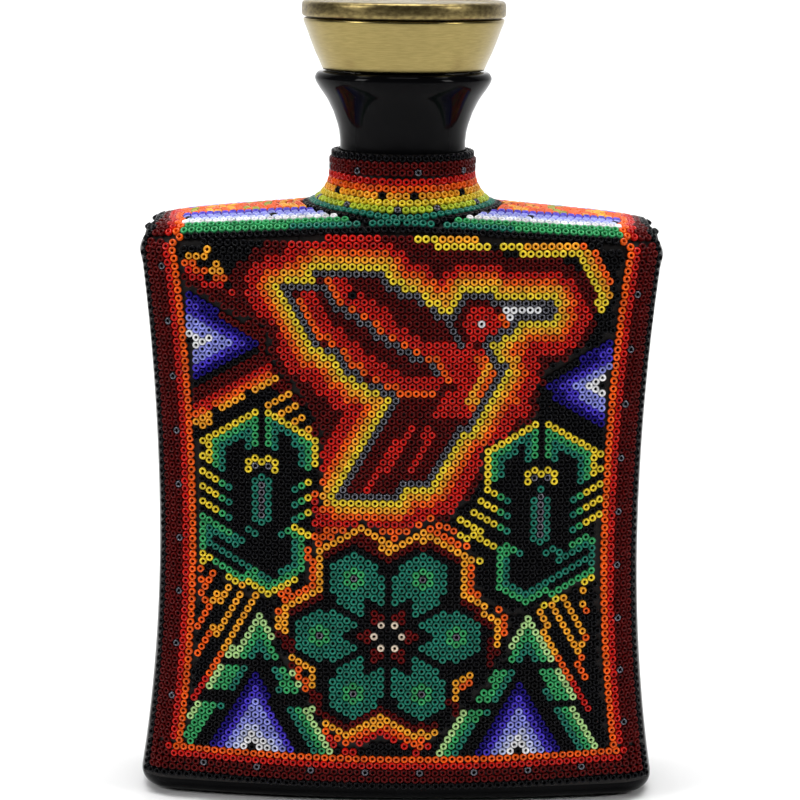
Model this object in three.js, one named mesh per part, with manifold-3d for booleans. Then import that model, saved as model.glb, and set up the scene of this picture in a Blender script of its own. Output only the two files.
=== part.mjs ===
// A flat glass decanter dressed in seed beads, with a brass-headed cork stopper.
// Millimetres, +Z up. The origin is the middle of the footprint, and the picture side faces -Y.
// Solids: a hollow glass flask, thin beds of beeswax on its faces, shoulders and neck, the layer of
// seed beads pressed into that wax (one solid for each motif, border, stripe or course), and the stopper.
import * as THREE from "three";
import { mergeVertices } from "three/addons/utils/BufferGeometryUtils.js";
import Module from "manifold-3d";

const wasm = await Module();
wasm.setup();

// ---------------------------------------------------------------- driving dimensions

const SEED_BEAD = 2.1; // outside diameter of one seed bead

const WAIST = { halfWidth: 65.4, z: 73 };
const FOOT = { halfWidth: 71.5, z: 0 };
const TOP = { halfWidth: 70.4, z: 151.5 };
const HALF_DEPTH = 26; // of the glass, at the middle of each face
const FACE_RADIUS = 298; // the gentle bow of the front and back faces, seen from above
const CORNER_RADIUS = 12; // upright edges
const BASE_EDGE_RADIUS = 5;
const TOP_EDGE_RADIUS = 5;
const SHOULDER = { ridgeZ: 163.1, slope: 0.1, softness: 20, crown: 2.6, crownAt: 24 };
const SHOULDER_END = { from: 52, drop: 0.004 }; // the shoulders roll off a little more at their ends

const NECK_RADIUS = 17;
const FLARE = { radius: 10.1, foot: 27.8 }; // concave sweep from the shoulders up into the neck
const NECK_PROFILE = [
  [NECK_RADIUS, 173],
  [NECK_RADIUS, 178.4],
  [17.8, 183],
  [20.5, 189.4],
  [22.6, 192.4],
  [23.9, 195],
  [23.5, 196.4],
  [22.4, 197],
]; // radius and height, up to the rolled lip
const LIP_Z = 197;

const WALL = 4;
const FLOOR_Z = 10; // a heavy glass foot
const PUNT = { inset: 11, depth: 1.2 };
const BORE_RADIUS = 11.5;
const CAVITY_FLARE = { radius: 16.5, foot: 28 };

const GAP = 0.3; // between two solids that touch
const WAX = [0.5, 0.8]; // distance of the wax's two faces from the glass
const BEADS = [0.8 + GAP, SEED_BEAD]; // the same for the bead layer
const PART_LINE = GAP / 2; // each neighbour stands back from a shared edge by this

const BORDER = { inner: -1.2, outer: 9.2 }; // side borders, along the surface from where the corner starts
const BOTTOM_BORDER = [5.2, 14.9];
const COLLAR = { bottom: 162.6, top: 175.9 }; // the level courses of beads round the neck

const CORK = { radius: 11.15, bottom: 163, top: 204.6 };
const CAP_SOCKET = { radius: BORE_RADIUS, top: 205 };
const DISC_SPIGOT = { radius: 9, bottom: 209.4 };

// ---------------------------------------------------------------- solids and meshes

const COLOURS = {
  blackGlass: [0x070707, 0.08, 0],
  wax: [0x2a1c10, 0.7, 0],
  beadBlack: [0x0b0b0d, 0.15, 0],
  beadRed: [0xb01407, 0.15, 0],
  beadDarkRed: [0x3a0405, 0.15, 0],
  beadOrange: [0xf0640a, 0.15, 0],
  beadYellow: [0xf0d020, 0.15, 0],
  beadGreen: [0x1f8f5a, 0.15, 0],
  beadTeal: [0x0f5a48, 0.15, 0],
  beadBlue: [0x2a1fb0, 0.15, 0],
  beadWhite: [0xe8e8e8, 0.15, 0],
  brass: [0xb5a05a, 0.3, 1],
  cork: [0xc49a6c, 0.85, 0],
};

const decanter = new THREE.Group();

function material(colour) {
  const [hex, roughness, metalness] = COLOURS[colour];
  return new THREE.MeshStandardMaterial({ color: hex, roughness, metalness });
}

function addMesh(name, geometry, colour) {
  const mesh = new THREE.Mesh(geometry, material(colour));
  mesh.name = name;
  decanter.add(mesh);
}

/** A closed triangle mesh as a manifold solid. */
function solidOf(geometry) {
  const bare = geometry.clone();
  bare.deleteAttribute("normal");
  bare.deleteAttribute("uv");
  const merged = mergeVertices(bare, 1e-4);
  return new wasm.Manifold(
    new wasm.Mesh({
      numProp: 3,
      vertProperties: new Float32Array(merged.attributes.position.array),
      triVerts: new Uint32Array(merged.index.array),
    }),
  );
}

/** A manifold solid as three.js geometry. */
function geometryOf(solid) {
  const { numProp, numVert, vertProperties, triVerts } = solid.getMesh();
  const positions = new Float32Array(numVert * 3);
  for (let i = 0; i < numVert; i++) {
    positions.set(vertProperties.subarray(i * numProp, i * numProp + 3), i * 3);
  }
  const geometry = new THREE.BufferGeometry();
  geometry.setAttribute("position", new THREE.BufferAttribute(positions, 3));
  geometry.setIndex(new THREE.BufferAttribute(triVerts, 1));
  geometry.computeVertexNormals();
  return geometry;
}

function addSolid(name, solid, colour) {
  addMesh(name, geometryOf(solid), colour);
}

/** Triangles from a list of points, turned to face outwards. */
function closedGeometry(points, triangles) {
  const signedVolume = triangles.reduce((sum, [a, b, c]) => {
    const [p, q, r] = [points[a], points[b], points[c]];
    return sum + p.dot(new THREE.Vector3().crossVectors(q, r)) / 6;
  }, 0);
  const facing = signedVolume < 0 ? triangles.map(([a, b, c]) => [a, c, b]) : triangles;
  const geometry = new THREE.BufferGeometry();
  const flat = new Float32Array(points.flatMap((p) => [p.x, p.y, p.z]));
  geometry.setAttribute("position", new THREE.BufferAttribute(flat, 3));
  geometry.setIndex(facing.flat());
  geometry.computeVertexNormals();
  return geometry;
}

/** Joins rings of points into one body, with its two ends closed by fans. */
function loft(rings) {
  const count = rings[0].length;
  const points = rings.flat();
  const triangles = [];
  for (let i = 0; i < rings.length - 1; i++) {
    for (let j = 0; j < count; j++) {
      const next = (j + 1) % count;
      const above = (i + 1) * count;
      const [a, b, c, d] = [i * count + j, i * count + next, above + next, above + j];
      triangles.push([a, b, c], [a, c, d]);
    }
  }
  for (const ring of [0, rings.length - 1]) {
    const middle = rings[ring].reduce((sum, p) => sum.add(p), new THREE.Vector3());
    points.push(middle.divideScalar(count));
    for (let j = 0; j < count; j++) {
      const pair = [ring * count + j, ring * count + ((j + 1) % count)];
      if (ring === 0) pair.reverse();
      triangles.push([points.length - 1, ...pair]);
    }
  }
  return closedGeometry(points, triangles);
}

/** A thin plate between two matching grids of points. If it wraps, its last column meets its first. */
function plate(outer, inner, wraps = false) {
  const rows = outer.length;
  const columns = outer[0].length;
  const points = [...outer.flat(), ...inner.flat()];
  const at = (side, i, j) => side * rows * columns + i * columns + (j % columns);
  const triangles = [];
  const quad = (a, b, c, d) => triangles.push([a, b, c], [a, c, d]);
  const top = rows - 1;
  const end = wraps ? columns : columns - 1;
  for (let j = 0; j < end; j++) {
    for (let i = 0; i < top; i++) {
      quad(at(0, i, j), at(0, i, j + 1), at(0, i + 1, j + 1), at(0, i + 1, j));
      quad(at(1, i, j), at(1, i + 1, j), at(1, i + 1, j + 1), at(1, i, j + 1));
    }
    quad(at(0, 0, j), at(1, 0, j), at(1, 0, j + 1), at(0, 0, j + 1));
    quad(at(0, top, j), at(0, top, j + 1), at(1, top, j + 1), at(1, top, j));
  }
  for (let i = 0; i < top && !wraps; i++) {
    quad(at(0, i, 0), at(0, i + 1, 0), at(1, i + 1, 0), at(1, i, 0));
    quad(at(0, i, end), at(1, i, end), at(1, i + 1, end), at(0, i + 1, end));
  }
  return closedGeometry(points, triangles);
}

function boxSolid([x0, x1], [y0, y1], [z0, z1]) {
  const box = new THREE.BoxGeometry(x1 - x0, y1 - y0, z1 - z0);
  return solidOf(box.translate((x0 + x1) / 2, (y0 + y1) / 2, (z0 + z1) / 2));
}

const range = (count) => Array.from({ length: count + 1 }, (_, i) => i / count);
const mix = (a, b, t) => a + (b - a) * t;

// ---------------------------------------------------------------- the shape of the flask

/** Half the width of the flask at a height: waisted, and widest at the foot. */
function halfWidth(z) {
  const end = z < WAIST.z ? FOOT : TOP;
  const share = (z - WAIST.z) / (end.z - WAIST.z);
  return WAIST.halfWidth + (end.halfWidth - WAIST.halfWidth) * share * share;
}

/** One quarter of the plan outline: where its bowed face ends and its rounded corner sits. */
function quarterOutline(width, depth, corner) {
  const bow = FACE_RADIUS - HALF_DEPTH + depth;
  const turn = Math.asin((width - corner) / (bow - corner));
  const faceLength = bow * turn;
  const centre = [width - corner, (bow - corner) * Math.cos(turn) - (bow - depth)];
  return { bow, turn, faceLength, corner, centre, depth };
}

/** A point on that quarter, at a distance along it from the middle of the face, with its outward normal. */
function alongQuarter(q, distance) {
  if (distance <= q.faceLength) {
    const angle = distance / q.bow;
    const normal = [Math.sin(angle), Math.cos(angle)];
    return { at: [q.bow * normal[0], q.bow * normal[1] - (q.bow - q.depth)], normal };
  }
  const angle = q.turn + (distance - q.faceLength) / q.corner;
  const normal = [Math.sin(angle), Math.cos(angle)];
  return { at: [q.centre[0] + q.corner * normal[0], q.centre[1] + q.corner * normal[1]], normal };
}

const FACE_STOPS = [0, 0.1, 0.2, 0.35, 0.6, 1]; // closer together near the neck
const CORNER_STEPS = 4;

/** The whole plan outline as points, starting at the middle of the back face (+Y), clockwise from above. */
function outline(width, depth, corner) {
  const q = quarterOutline(width, depth, corner);
  const cornerLength = q.corner * (Math.PI / 2 - q.turn);
  const face = FACE_STOPS.map((share) => share * q.faceLength);
  const bend = range(CORNER_STEPS).map((share) => q.faceLength + share * cornerLength);
  const quarter = [...face, ...bend.slice(1)].map((distance) => alongQuarter(q, distance).at);
  const frontQuarter = quarter.toReversed().map(([x, y]) => [x, -y]);
  const right = [...quarter, [width, 0], ...frontQuarter];
  const left = right.slice(1, -1).toReversed();
  return [...right, ...left.map(([x, y]) => [-x, y])];
}

const RIM = outline(
  TOP.halfWidth - TOP_EDGE_RADIUS,
  HALF_DEPTH - TOP_EDGE_RADIUS,
  CORNER_RADIUS - TOP_EDGE_RADIUS,
);

/** A circle whose points lie in the same directions from the neck's axis as the points of the rim. */
const circle = (radius) =>
  RIM.map(([x, y]) => [x, y].map((part) => (part * radius) / Math.hypot(x, y)));

/** How far the sweep up into the neck rises at a distance from the neck's axis. */
function sweepRise(fromAxis, flare) {
  const reach = Math.min(flare.radius, Math.max(0, flare.foot - fromAxis));
  return flare.radius - Math.sqrt(flare.radius ** 2 - reach ** 2);
}

/** The height of the shoulders over a point of the plan, without the sweep. */
function shoulderPlane(x, y) {
  const along = Math.hypot(x, SHOULDER.softness);
  const past = Math.max(0, Math.abs(x) - SHOULDER_END.from);
  const crown = SHOULDER.crown * (y / SHOULDER.crownAt) ** 2;
  return SHOULDER.ridgeZ - SHOULDER.slope * along - SHOULDER_END.drop * past * past - crown;
}

const shoulderHeight = (x, y, flare) => shoulderPlane(x, y) + sweepRise(Math.hypot(x, y), flare);

const flatRing = (points, z) => points.map(([x, y]) => new THREE.Vector3(x, y, z));

/** The rings of the flask from the top of its faces, over the edge and shoulders, to the foot of the neck. */
function shoulderRings({ inset, corner, edge, flare, neckRadius, edgeSteps, sweep }) {
  const lift = (points, drop) =>
    points.map(([x, y]) => new THREE.Vector3(x, y, shoulderHeight(x, y, flare) - inset - drop));
  const [width, depth] = [TOP.halfWidth - inset, HALF_DEPTH - inset];
  const rings = range(edgeSteps).map((t) => {
    const angle = (t * Math.PI) / 2;
    const back = edge * (1 - Math.cos(angle));
    const points = outline(width - back, depth - back, Math.max(corner - back, 2));
    return lift(points, edge * (1 - Math.sin(angle)));
  });
  const rim = rings.at(-1);
  const neck = circle(neckRadius);
  for (const t of sweep) {
    rings.push(lift(rim.map((p, i) => [mix(p.x, neck[i][0], t), mix(p.y, neck[i][1], t)]), 0));
  }
  return rings;
}

const GLASS_SHOULDER = shoulderRings({
  inset: 0,
  corner: CORNER_RADIUS,
  edge: TOP_EDGE_RADIUS,
  flare: FLARE,
  neckRadius: FLARE.foot - FLARE.radius,
  edgeSteps: 3,
  sweep: [0.4, 0.7, 0.83, 0.91, 0.955, 0.98, 0.992, 1],
});
const NECK_RINGS = NECK_PROFILE.map(([radius, z]) => flatRing(circle(radius), z));

// ---------------------------------------------------------------- glass

function bodyRing(z, inset, corner) {
  return flatRing(outline(halfWidth(z) - inset, HALF_DEPTH - inset, corner), z);
}

function makeGlass() {
  const punt = bodyRing(0, PUNT.inset, CORNER_RADIUS / 2);
  const outside = [
    flatRing(outline(WAIST.halfWidth - 20, HALF_DEPTH - 14, 6), PUNT.depth),
    punt.map((p) => p.clone()),
    ...range(3).map((t) => {
      const angle = (t * Math.PI) / 2;
      const z = BASE_EDGE_RADIUS * (1 - Math.cos(angle));
      const inset = BASE_EDGE_RADIUS * (1 - Math.sin(angle));
      return flatRing(outline(halfWidth(z) - inset, HALF_DEPTH - inset, CORNER_RADIUS - inset / 2), z);
    }),
    ...[38, 73, 113].map((z) => bodyRing(z, 0, CORNER_RADIUS)),
    ...GLASS_SHOULDER,
    ...NECK_RINGS,
  ];
  const cavityShoulder = shoulderRings({
    inset: WALL,
    corner: CORNER_RADIUS - WALL,
    edge: 3,
    flare: CAVITY_FLARE,
    neckRadius: BORE_RADIUS,
    edgeSteps: 2,
    sweep: [0.3, 0.55, 0.75, 0.9, 1],
  });
  const inside = [
    flatRing(circle(BORE_RADIUS + 0.8), LIP_Z),
    flatRing(circle(BORE_RADIUS), LIP_Z - 1),
    flatRing(circle(BORE_RADIUS), 175.5),
    ...cavityShoulder.toReversed(),
    ...[113, 73, 38].map((z) => bodyRing(z, WALL, CORNER_RADIUS - WALL)),
    bodyRing(FLOOR_Z + 4, WALL, CORNER_RADIUS - WALL),
    bodyRing(FLOOR_Z + 1.2, WALL + 1.2, CORNER_RADIUS - WALL),
    bodyRing(FLOOR_Z, WALL + 4, CORNER_RADIUS - WALL),
  ];
  addMesh("glass_flask", loft([...outside, ...inside]), "blackGlass");
}

// ---------------------------------------------------------------- layers on the front and back faces

/** A point over a face: distance along the surface from its middle, height, and height above the glass. */
function facePoint(side, distance, z, above) {
  const q = quarterOutline(halfWidth(z), HALF_DEPTH, CORNER_RADIUS);
  const { at, normal } = alongQuarter(q, Math.abs(distance));
  const x = Math.sign(distance) * (at[0] + above * normal[0]);
  return new THREE.Vector3(x, side * (at[1] + above * normal[1]), z);
}

const FACE_ROWS = 4;
const FIELD_COLUMNS = 8;
const BORDER_COLUMNS = 4;

/** How far along the surface a face runs before its rounded corner starts. */
const faceEnd = (z) => quarterOutline(halfWidth(z), HALF_DEPTH, CORNER_RADIUS).faceLength;

/** The height at which a face gives way to the rounded top edge. */
function faceTop(distance) {
  const { at } = alongQuarter(
    quarterOutline(TOP.halfWidth, HALF_DEPTH, CORNER_RADIUS),
    Math.abs(distance),
  );
  return shoulderHeight(...at, FLARE) - TOP_EDGE_RADIUS;
}

/** A thin layer over a face. Each stop gives the distance along the surface of one column, at a height. */
function faceLayer(side, layer, stops, zLow, rows = FACE_ROWS) {
  const grid = (above) =>
    range(rows).map((v) =>
      stops.map((stop) => {
        const top = faceTop(stop(TOP.z)) - GAP;
        const z = mix(zLow, top, v);
        return facePoint(side, stop(z), z, above);
      }),
    );
  return solidOf(plate(grid(layer[1]), grid(layer[0])));
}

/** Evenly spaced stops between two ends that may both change with height. */
const evenStops = (from, to, count) => range(count).map((u) => (z) => mix(from(z), to(z), u));

/** An upright prism through a face, from an outline in millimetres across and up. */
function prism(side, points) {
  const shape = new THREE.Shape(points.map(([x, z]) => new THREE.Vector2(x, z)));
  const geometry = new THREE.ExtrudeGeometry(shape, { depth: 40, bevelEnabled: false });
  geometry.rotateX(Math.PI / 2);
  geometry.translate(0, side < 0 ? -2 : 42, 0);
  return solidOf(geometry);
}

/** The outline moved inwards along its own edges' normals, to leave a part line. */
function shrunk(points, by) {
  const area = points.reduce((sum, [x, z], i) => {
    const [nx, nz] = points[(i + 1) % points.length];
    return sum + (x * nz - nx * z) / 2;
  }, 0);
  const sign = area > 0 ? 1 : -1;
  const normal = ([ax, az], [bx, bz]) => {
    const length = Math.hypot(bx - ax, bz - az);
    return [(-(bz - az) / length) * sign, ((bx - ax) / length) * sign];
  };
  return points.map((p, i) => {
    const before = normal(points.at(i - 1), p);
    const after = normal(p, points[(i + 1) % points.length]);
    const reach = by / (1 + before[0] * after[0] + before[1] * after[1]);
    return [p[0] + (before[0] + after[0]) * reach, p[1] + (before[1] + after[1]) * reach];
  });
}

const mirrored = (points) => points.map(([x, z]) => [-x, z]).toReversed();

/** A hexagon with two upright sides. */
const hexagon = ([x, z], radius) =>
  range(6)
    .slice(0, -1)
    .map((t) => [
      x + radius * Math.sin(2 * Math.PI * t),
      z + radius * Math.cos(2 * Math.PI * t),
    ]);

// Outlines of the motifs, in millimetres across and up from the foot of the flask.
const HUMMINGBIRD = [
  [-44, 148.5],
  [12, 149],
  [43, 145.5],
  [48, 136],
  [42, 127],
  [33, 122],
  [32, 111],
  [21, 97],
  [16, 84],
  [4, 78],
  [-6, 76],
  [-20, 76],
  [-21.5, 90],
  [-16, 103],
  [-27, 116],
  [-33.5, 125],
  [-42, 141],
];
const FLOWER = hexagon([-2.6, 47.3], 27);
const SIDE_TRIANGLE_LEFT = [
  [-58, 139.5],
  [-37, 127.5],
  [-58, 114],
];
const SIDE_TRIANGLE_RIGHT = mirrored(SIDE_TRIANGLE_LEFT).map(([x, z]) => [x, z - 12.2]);
const SPROUT_LEFT = [
  [-36.8, 109],
  [-23.4, 101.5],
  [-23.4, 74],
  [-26.5, 63],
  [-33.5, 58.5],
  [-41, 60.5],
  [-52, 67.5],
  [-52, 100.5],
];
const SPROUT_RIGHT = mirrored(SPROUT_LEFT).map(([x, z]) => [x + 0.9, z - 3.05]);
const MOUNTAIN_LEFT = [
  [-60, 14],
  [-37.8, 53],
  [-15.6, 14],
];
const MOUNTAIN_RIGHT = mirrored(MOUNTAIN_LEFT).map(([x, z]) => [x - 3.6, z - 0.7]);

function addBeadedFace(side, prefix, motifs) {
  const minus = (edge) => (z) => -edge(z);
  const inner = (z) => faceEnd(z) + BORDER.inner;
  const outer = (z) => faceEnd(z) + BORDER.outer;
  const [borderFoot, fieldFoot] = BOTTOM_BORDER;
  const fieldEnd = (z) => inner(z) - PART_LINE;
  const fieldStops = evenStops(minus(fieldEnd), fieldEnd, FIELD_COLUMNS);
  let ground = faceLayer(side, BEADS, fieldStops, fieldFoot + PART_LINE);
  for (const [name, points, colour] of motifs) {
    const motif = ground.intersect(prism(side, shrunk(points, PART_LINE)));
    ground = ground.subtract(prism(side, shrunk(points, -PART_LINE)));
    addSolid(`${prefix}_${name}`, motif, colour);
  }
  addSolid(`${prefix}_ground`, ground, "beadBlack");

  const borderStart = (z) => inner(z) + PART_LINE;
  const rightStops = evenStops(borderStart, outer, BORDER_COLUMNS);
  const leftStops = evenStops(minus(outer), minus(borderStart), BORDER_COLUMNS);
  addSolid(`${prefix}_left_border`, faceLayer(side, BEADS, leftStops, borderFoot), "beadDarkRed");
  addSolid(`${prefix}_right_border`, faceLayer(side, BEADS, rightStops, borderFoot), "beadDarkRed");
  const footLayer = faceLayer(side, BEADS, fieldStops, borderFoot);
  const footBand = boxSolid([-80, 80], [-60, 60], [0, fieldFoot - PART_LINE]);
  addSolid(`${prefix}_bottom_border`, footLayer.intersect(footBand), "beadRed");

  const waxEnd = (z) => outer(z) + 0.5;
  const waxStops = [
    ...evenStops(minus(waxEnd), minus(inner), BORDER_COLUMNS),
    ...evenStops(minus(inner), inner, FIELD_COLUMNS).slice(1, -1),
    ...evenStops(inner, waxEnd, BORDER_COLUMNS),
  ];
  addSolid(`${prefix}_wax`, faceLayer(side, WAX, waxStops, borderFoot - 0.5), "wax");
}

// ---------------------------------------------------------------- layers on the shoulders and neck

/** A closed band that stands over the shoulders and the foot of the neck, parallel to the glass. */
function shoulderBand(layer) {
  const rings = [...GLASS_SHOULDER, NECK_RINGS[0]];
  const [first, last] = [rings[0], rings.at(-1)];
  const shifted = (points, dz) => points.map((p) => new THREE.Vector3(p.x, p.y, p.z + dz));
  const ladder = [shifted(first, -5), ...rings, shifted(last, 5)];
  const raised = (above) =>
    rings.map((points, i) =>
      points.map((p, j) => {
        const ahead = points[(j + 1) % points.length];
        const around = ahead.clone().sub(points.at(j - 1));
        const up = ladder[i + 2][j].clone().sub(ladder[i][j]);
        return p.clone().addScaledVector(up.cross(around).normalize(), above);
      }),
    );
  return solidOf(plate(raised(layer[1]), raised(layer[0]), true));
}

/** How far from the neck's axis a layer lies, in one direction and at one height. */
function collarRadius(direction, z, above) {
  const sweep = { radius: FLARE.radius - above, foot: FLARE.foot };
  const least = sweep.foot - sweep.radius;
  let radius = least;
  for (let pass = 0; pass < 8; pass++) {
    const plane = shoulderPlane(radius * Math.sin(direction), radius * Math.cos(direction)) + above;
    const rise = z - plane;
    if (rise >= sweep.radius) {
      return mix(least, NECK_RADIUS + above, Math.min(1, (rise - sweep.radius) / 3));
    }
    radius = sweep.foot - Math.sqrt(sweep.radius ** 2 - (sweep.radius - Math.max(rise, 0)) ** 2);
  }
  return radius;
}

/** A level course round the neck, as a closed ring between two heights. */
function collarCourse([low, high], layer, steps) {
  const directions = range(COLLAR_STEPS).slice(0, -1);
  const ringAt = (z, above) =>
    directions.map((t) => {
      const angle = 2 * Math.PI * t;
      const radius = collarRadius(angle, z, above);
      return new THREE.Vector3(radius * Math.sin(angle), radius * Math.cos(angle), z);
    });
  const grid = (above) => range(steps).map((t) => ringAt(mix(low, high, t), above));
  return plate(grid(layer[1]), grid(layer[0]), true);
}

const COLLAR_STEPS = 28;
const NECK_ZONE = 27; // half the width of the zone that belongs to the neck's collar
const STRIPE_END = 57.4; // where the shoulder stripes meet the end borders
const STRIPES = [
  ["green", 20.6, 40, "beadGreen"],
  ["white", 16.8, 20.6, "beadWhite"],
  ["violet", 10.9, 16.8, "beadBlue"],
]; // distance from the ridge at which each stripe starts and ends
const COURSES = [
  ["black", 173.9, COLLAR.top, "beadBlack"],
  ["dark_red", 170.2, 173.9, "beadDarkRed"],
  ["red", 168.2, 170.2, "beadRed"],
  ["orange", 165, 168.2, "beadOrange"],
  ["yellow", COLLAR.bottom, 165, "beadYellow"],
]; // heights of the collar's courses, from the top down

function addBeadedShoulders() {
  const beads = shoulderBand(BEADS);
  const wax = shoulderBand(WAX);
  const tall = [140, 190];
  const wide = [-60, 60];
  const sorted = (a, b) => [Math.min(a, b), Math.max(a, b)];
  for (const [name, sign] of [
    ["left", -1],
    ["right", 1],
  ]) {
    const across = (a, b) => sorted(sign * a, sign * b);
    const zone = across(NECK_ZONE + PART_LINE, STRIPE_END - PART_LINE);
    for (const [stripe, near, far, colour] of STRIPES) {
      for (const [face, side] of [
        ["front", -1],
        ["back", 1],
      ]) {
        const depth = sorted(side * (near + PART_LINE), side * (far - PART_LINE));
        const piece = beads.intersect(boxSolid(zone, depth, tall));
        addSolid(`${name}_shoulder_${face}_${stripe}_stripe`, piece, colour);
      }
    }
    const ridgeEnd = STRIPES.at(-1)[1] - PART_LINE;
    const ridge = beads.intersect(boxSolid(zone, [-ridgeEnd, ridgeEnd], tall));
    addSolid(`${name}_shoulder_ridge_stripe`, ridge, "beadOrange");
    const endZone = across(STRIPE_END + PART_LINE, 68.2);
    addSolid(`${name}_shoulder_end`, beads.intersect(boxSolid(endZone, wide, tall)), "beadDarkRed");
    const waxZone = across(NECK_ZONE + PART_LINE, 68.7);
    addSolid(`${name}_shoulder_wax`, wax.intersect(boxSolid(waxZone, wide, tall)), "wax");
  }

  const middle = [-NECK_ZONE + PART_LINE, NECK_ZONE - PART_LINE];
  const foot = (high) => boxSolid(middle, wide, [tall[0], high - PART_LINE]);
  addSolid("collar_foot_wax", wax.intersect(foot(COLLAR.bottom - 1)), "wax");
  addSolid("collar_foot_beads", beads.intersect(foot(COLLAR.bottom)), "beadTeal");
  const waxHeights = [COLLAR.bottom - 1 + PART_LINE, COLLAR.top];
  addMesh("neck_wax", collarCourse(waxHeights, WAX, 5), "wax");
  for (const [course, low, high, colour] of COURSES) {
    const heights = [low + PART_LINE, high - PART_LINE];
    addMesh(`neck_${course}_course`, collarCourse(heights, BEADS, high > 172 ? 1 : 2), colour);
  }
}

// ---------------------------------------------------------------- stopper

const LATHE_STEPS = 28;

function turned(profile) {
  const points = profile.map(([radius, z]) => new THREE.Vector2(radius, z));
  return new THREE.LatheGeometry(points, LATHE_STEPS).rotateX(Math.PI / 2);
}

function makeStopper() {
  addMesh(
    "stopper_cap",
    turned([
      [0, CAP_SOCKET.top],
      [CAP_SOCKET.radius, CAP_SOCKET.top],
      [CAP_SOCKET.radius, LIP_Z + GAP],
      [21.4, LIP_Z + GAP],
      [21.9, LIP_Z + GAP + 0.5],
      [23.8, 202],
      [25.7, 207],
      [26.6, 209.4],
      [27, 210.6],
      [26.7, 211],
      [DISC_SPIGOT.radius + GAP, 211],
      [DISC_SPIGOT.radius + GAP, DISC_SPIGOT.bottom - GAP],
      [0, DISC_SPIGOT.bottom - GAP],
    ]),
    "brass",
  );
  addMesh(
    "stopper_disc",
    turned([
      [0, DISC_SPIGOT.bottom],
      [DISC_SPIGOT.radius, DISC_SPIGOT.bottom],
      [DISC_SPIGOT.radius, 211.4],
      [26.6, 211.4],
      [27.3, 212],
      [27.4, 214.4],
      [27, 215.5],
      [26.2, 216],
      [0, 216],
    ]),
    "brass",
  );
  const { radius, bottom, top } = CORK;
  addMesh(
    "stopper_cork",
    turned([
      [0, bottom],
      [radius - 1.2, bottom],
      [radius, bottom + 1.2],
      [radius, top],
      [0, top],
    ]),
    "cork",
  );
}

// ---------------------------------------------------------------- assembly

makeGlass();
addBeadedFace(-1, "front", [
  ["hummingbird", HUMMINGBIRD, "beadOrange"],
  ["flower", FLOWER, "beadTeal"],
  ["left_triangle", SIDE_TRIANGLE_LEFT, "beadBlue"],
  ["right_triangle", SIDE_TRIANGLE_RIGHT, "beadBlue"],
  ["left_sprout", SPROUT_LEFT, "beadGreen"],
  ["right_sprout", SPROUT_RIGHT, "beadGreen"],
  ["left_mountain", MOUNTAIN_LEFT, "beadGreen"],
  ["right_mountain", MOUNTAIN_RIGHT, "beadGreen"],
]);
addBeadedFace(1, "back", [
  ["flower", hexagon([0, 90], 30), "beadTeal"],
  ["left_mountain", MOUNTAIN_LEFT, "beadGreen"],
  ["right_mountain", MOUNTAIN_RIGHT, "beadGreen"],
]);
addBeadedShoulders();
makeStopper();

export default decanter;
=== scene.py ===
import itertools
import math

import bpy
import numpy as np
from mathutils import Matrix, Vector


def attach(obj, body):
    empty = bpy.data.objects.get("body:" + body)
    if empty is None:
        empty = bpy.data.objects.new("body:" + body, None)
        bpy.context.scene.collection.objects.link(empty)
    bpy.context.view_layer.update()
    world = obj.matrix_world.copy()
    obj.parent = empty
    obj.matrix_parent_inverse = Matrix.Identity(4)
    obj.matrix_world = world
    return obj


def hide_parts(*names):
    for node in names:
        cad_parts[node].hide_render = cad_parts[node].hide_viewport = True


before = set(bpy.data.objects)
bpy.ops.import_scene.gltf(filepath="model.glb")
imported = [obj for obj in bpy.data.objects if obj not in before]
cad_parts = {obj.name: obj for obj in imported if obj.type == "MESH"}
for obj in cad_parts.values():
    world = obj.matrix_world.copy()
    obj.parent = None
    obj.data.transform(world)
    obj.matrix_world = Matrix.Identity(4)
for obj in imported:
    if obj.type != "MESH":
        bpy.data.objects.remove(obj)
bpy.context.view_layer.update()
RNG = np.random.default_rng(11)
MM = 0.001

# ---- the flask's own dimensions, in mm
WAIST = (65.4, 73.0)
FOOT = (71.5, 0.0)
TOP = (70.4, 151.5)
HALF_DEPTH = 26.0
FACE_RADIUS = 298.0
CORNER = 12.0
TOP_EDGE = 5.0
BASE_EDGE = 5.0
FLARE_RADIUS, FLARE_FOOT = 10.1, 27.8
NECK = [(17.0, 173.0), (17.0, 178.4), (17.3, 181.0), (17.8, 183.0), (18.9, 186.2), (20.5, 189.4),
        (21.6, 191.0), (22.6, 192.4), (23.6, 194.1), (23.9, 195.0), (23.9, 195.5), (23.5, 196.4),
        (23.0, 196.8), (22.4, 197.0)]
LIP_Z = 197.0
BORE = 11.5
RIDGE_Z = 163.1  # of the shoulders, before they slope, bow and roll off
SLOPE, SOFTNESS = 0.1, 20.0
END_FROM, END_DROP = 52.0, 0.004
CROWN, CROWN_AT = 2.6, 24.0
COLLAR_TOP = 175.0  # the middle of the top ring of beads round the neck
COLLAR_ROW = 1.84  # between its rings
WALL = 4.0

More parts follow.
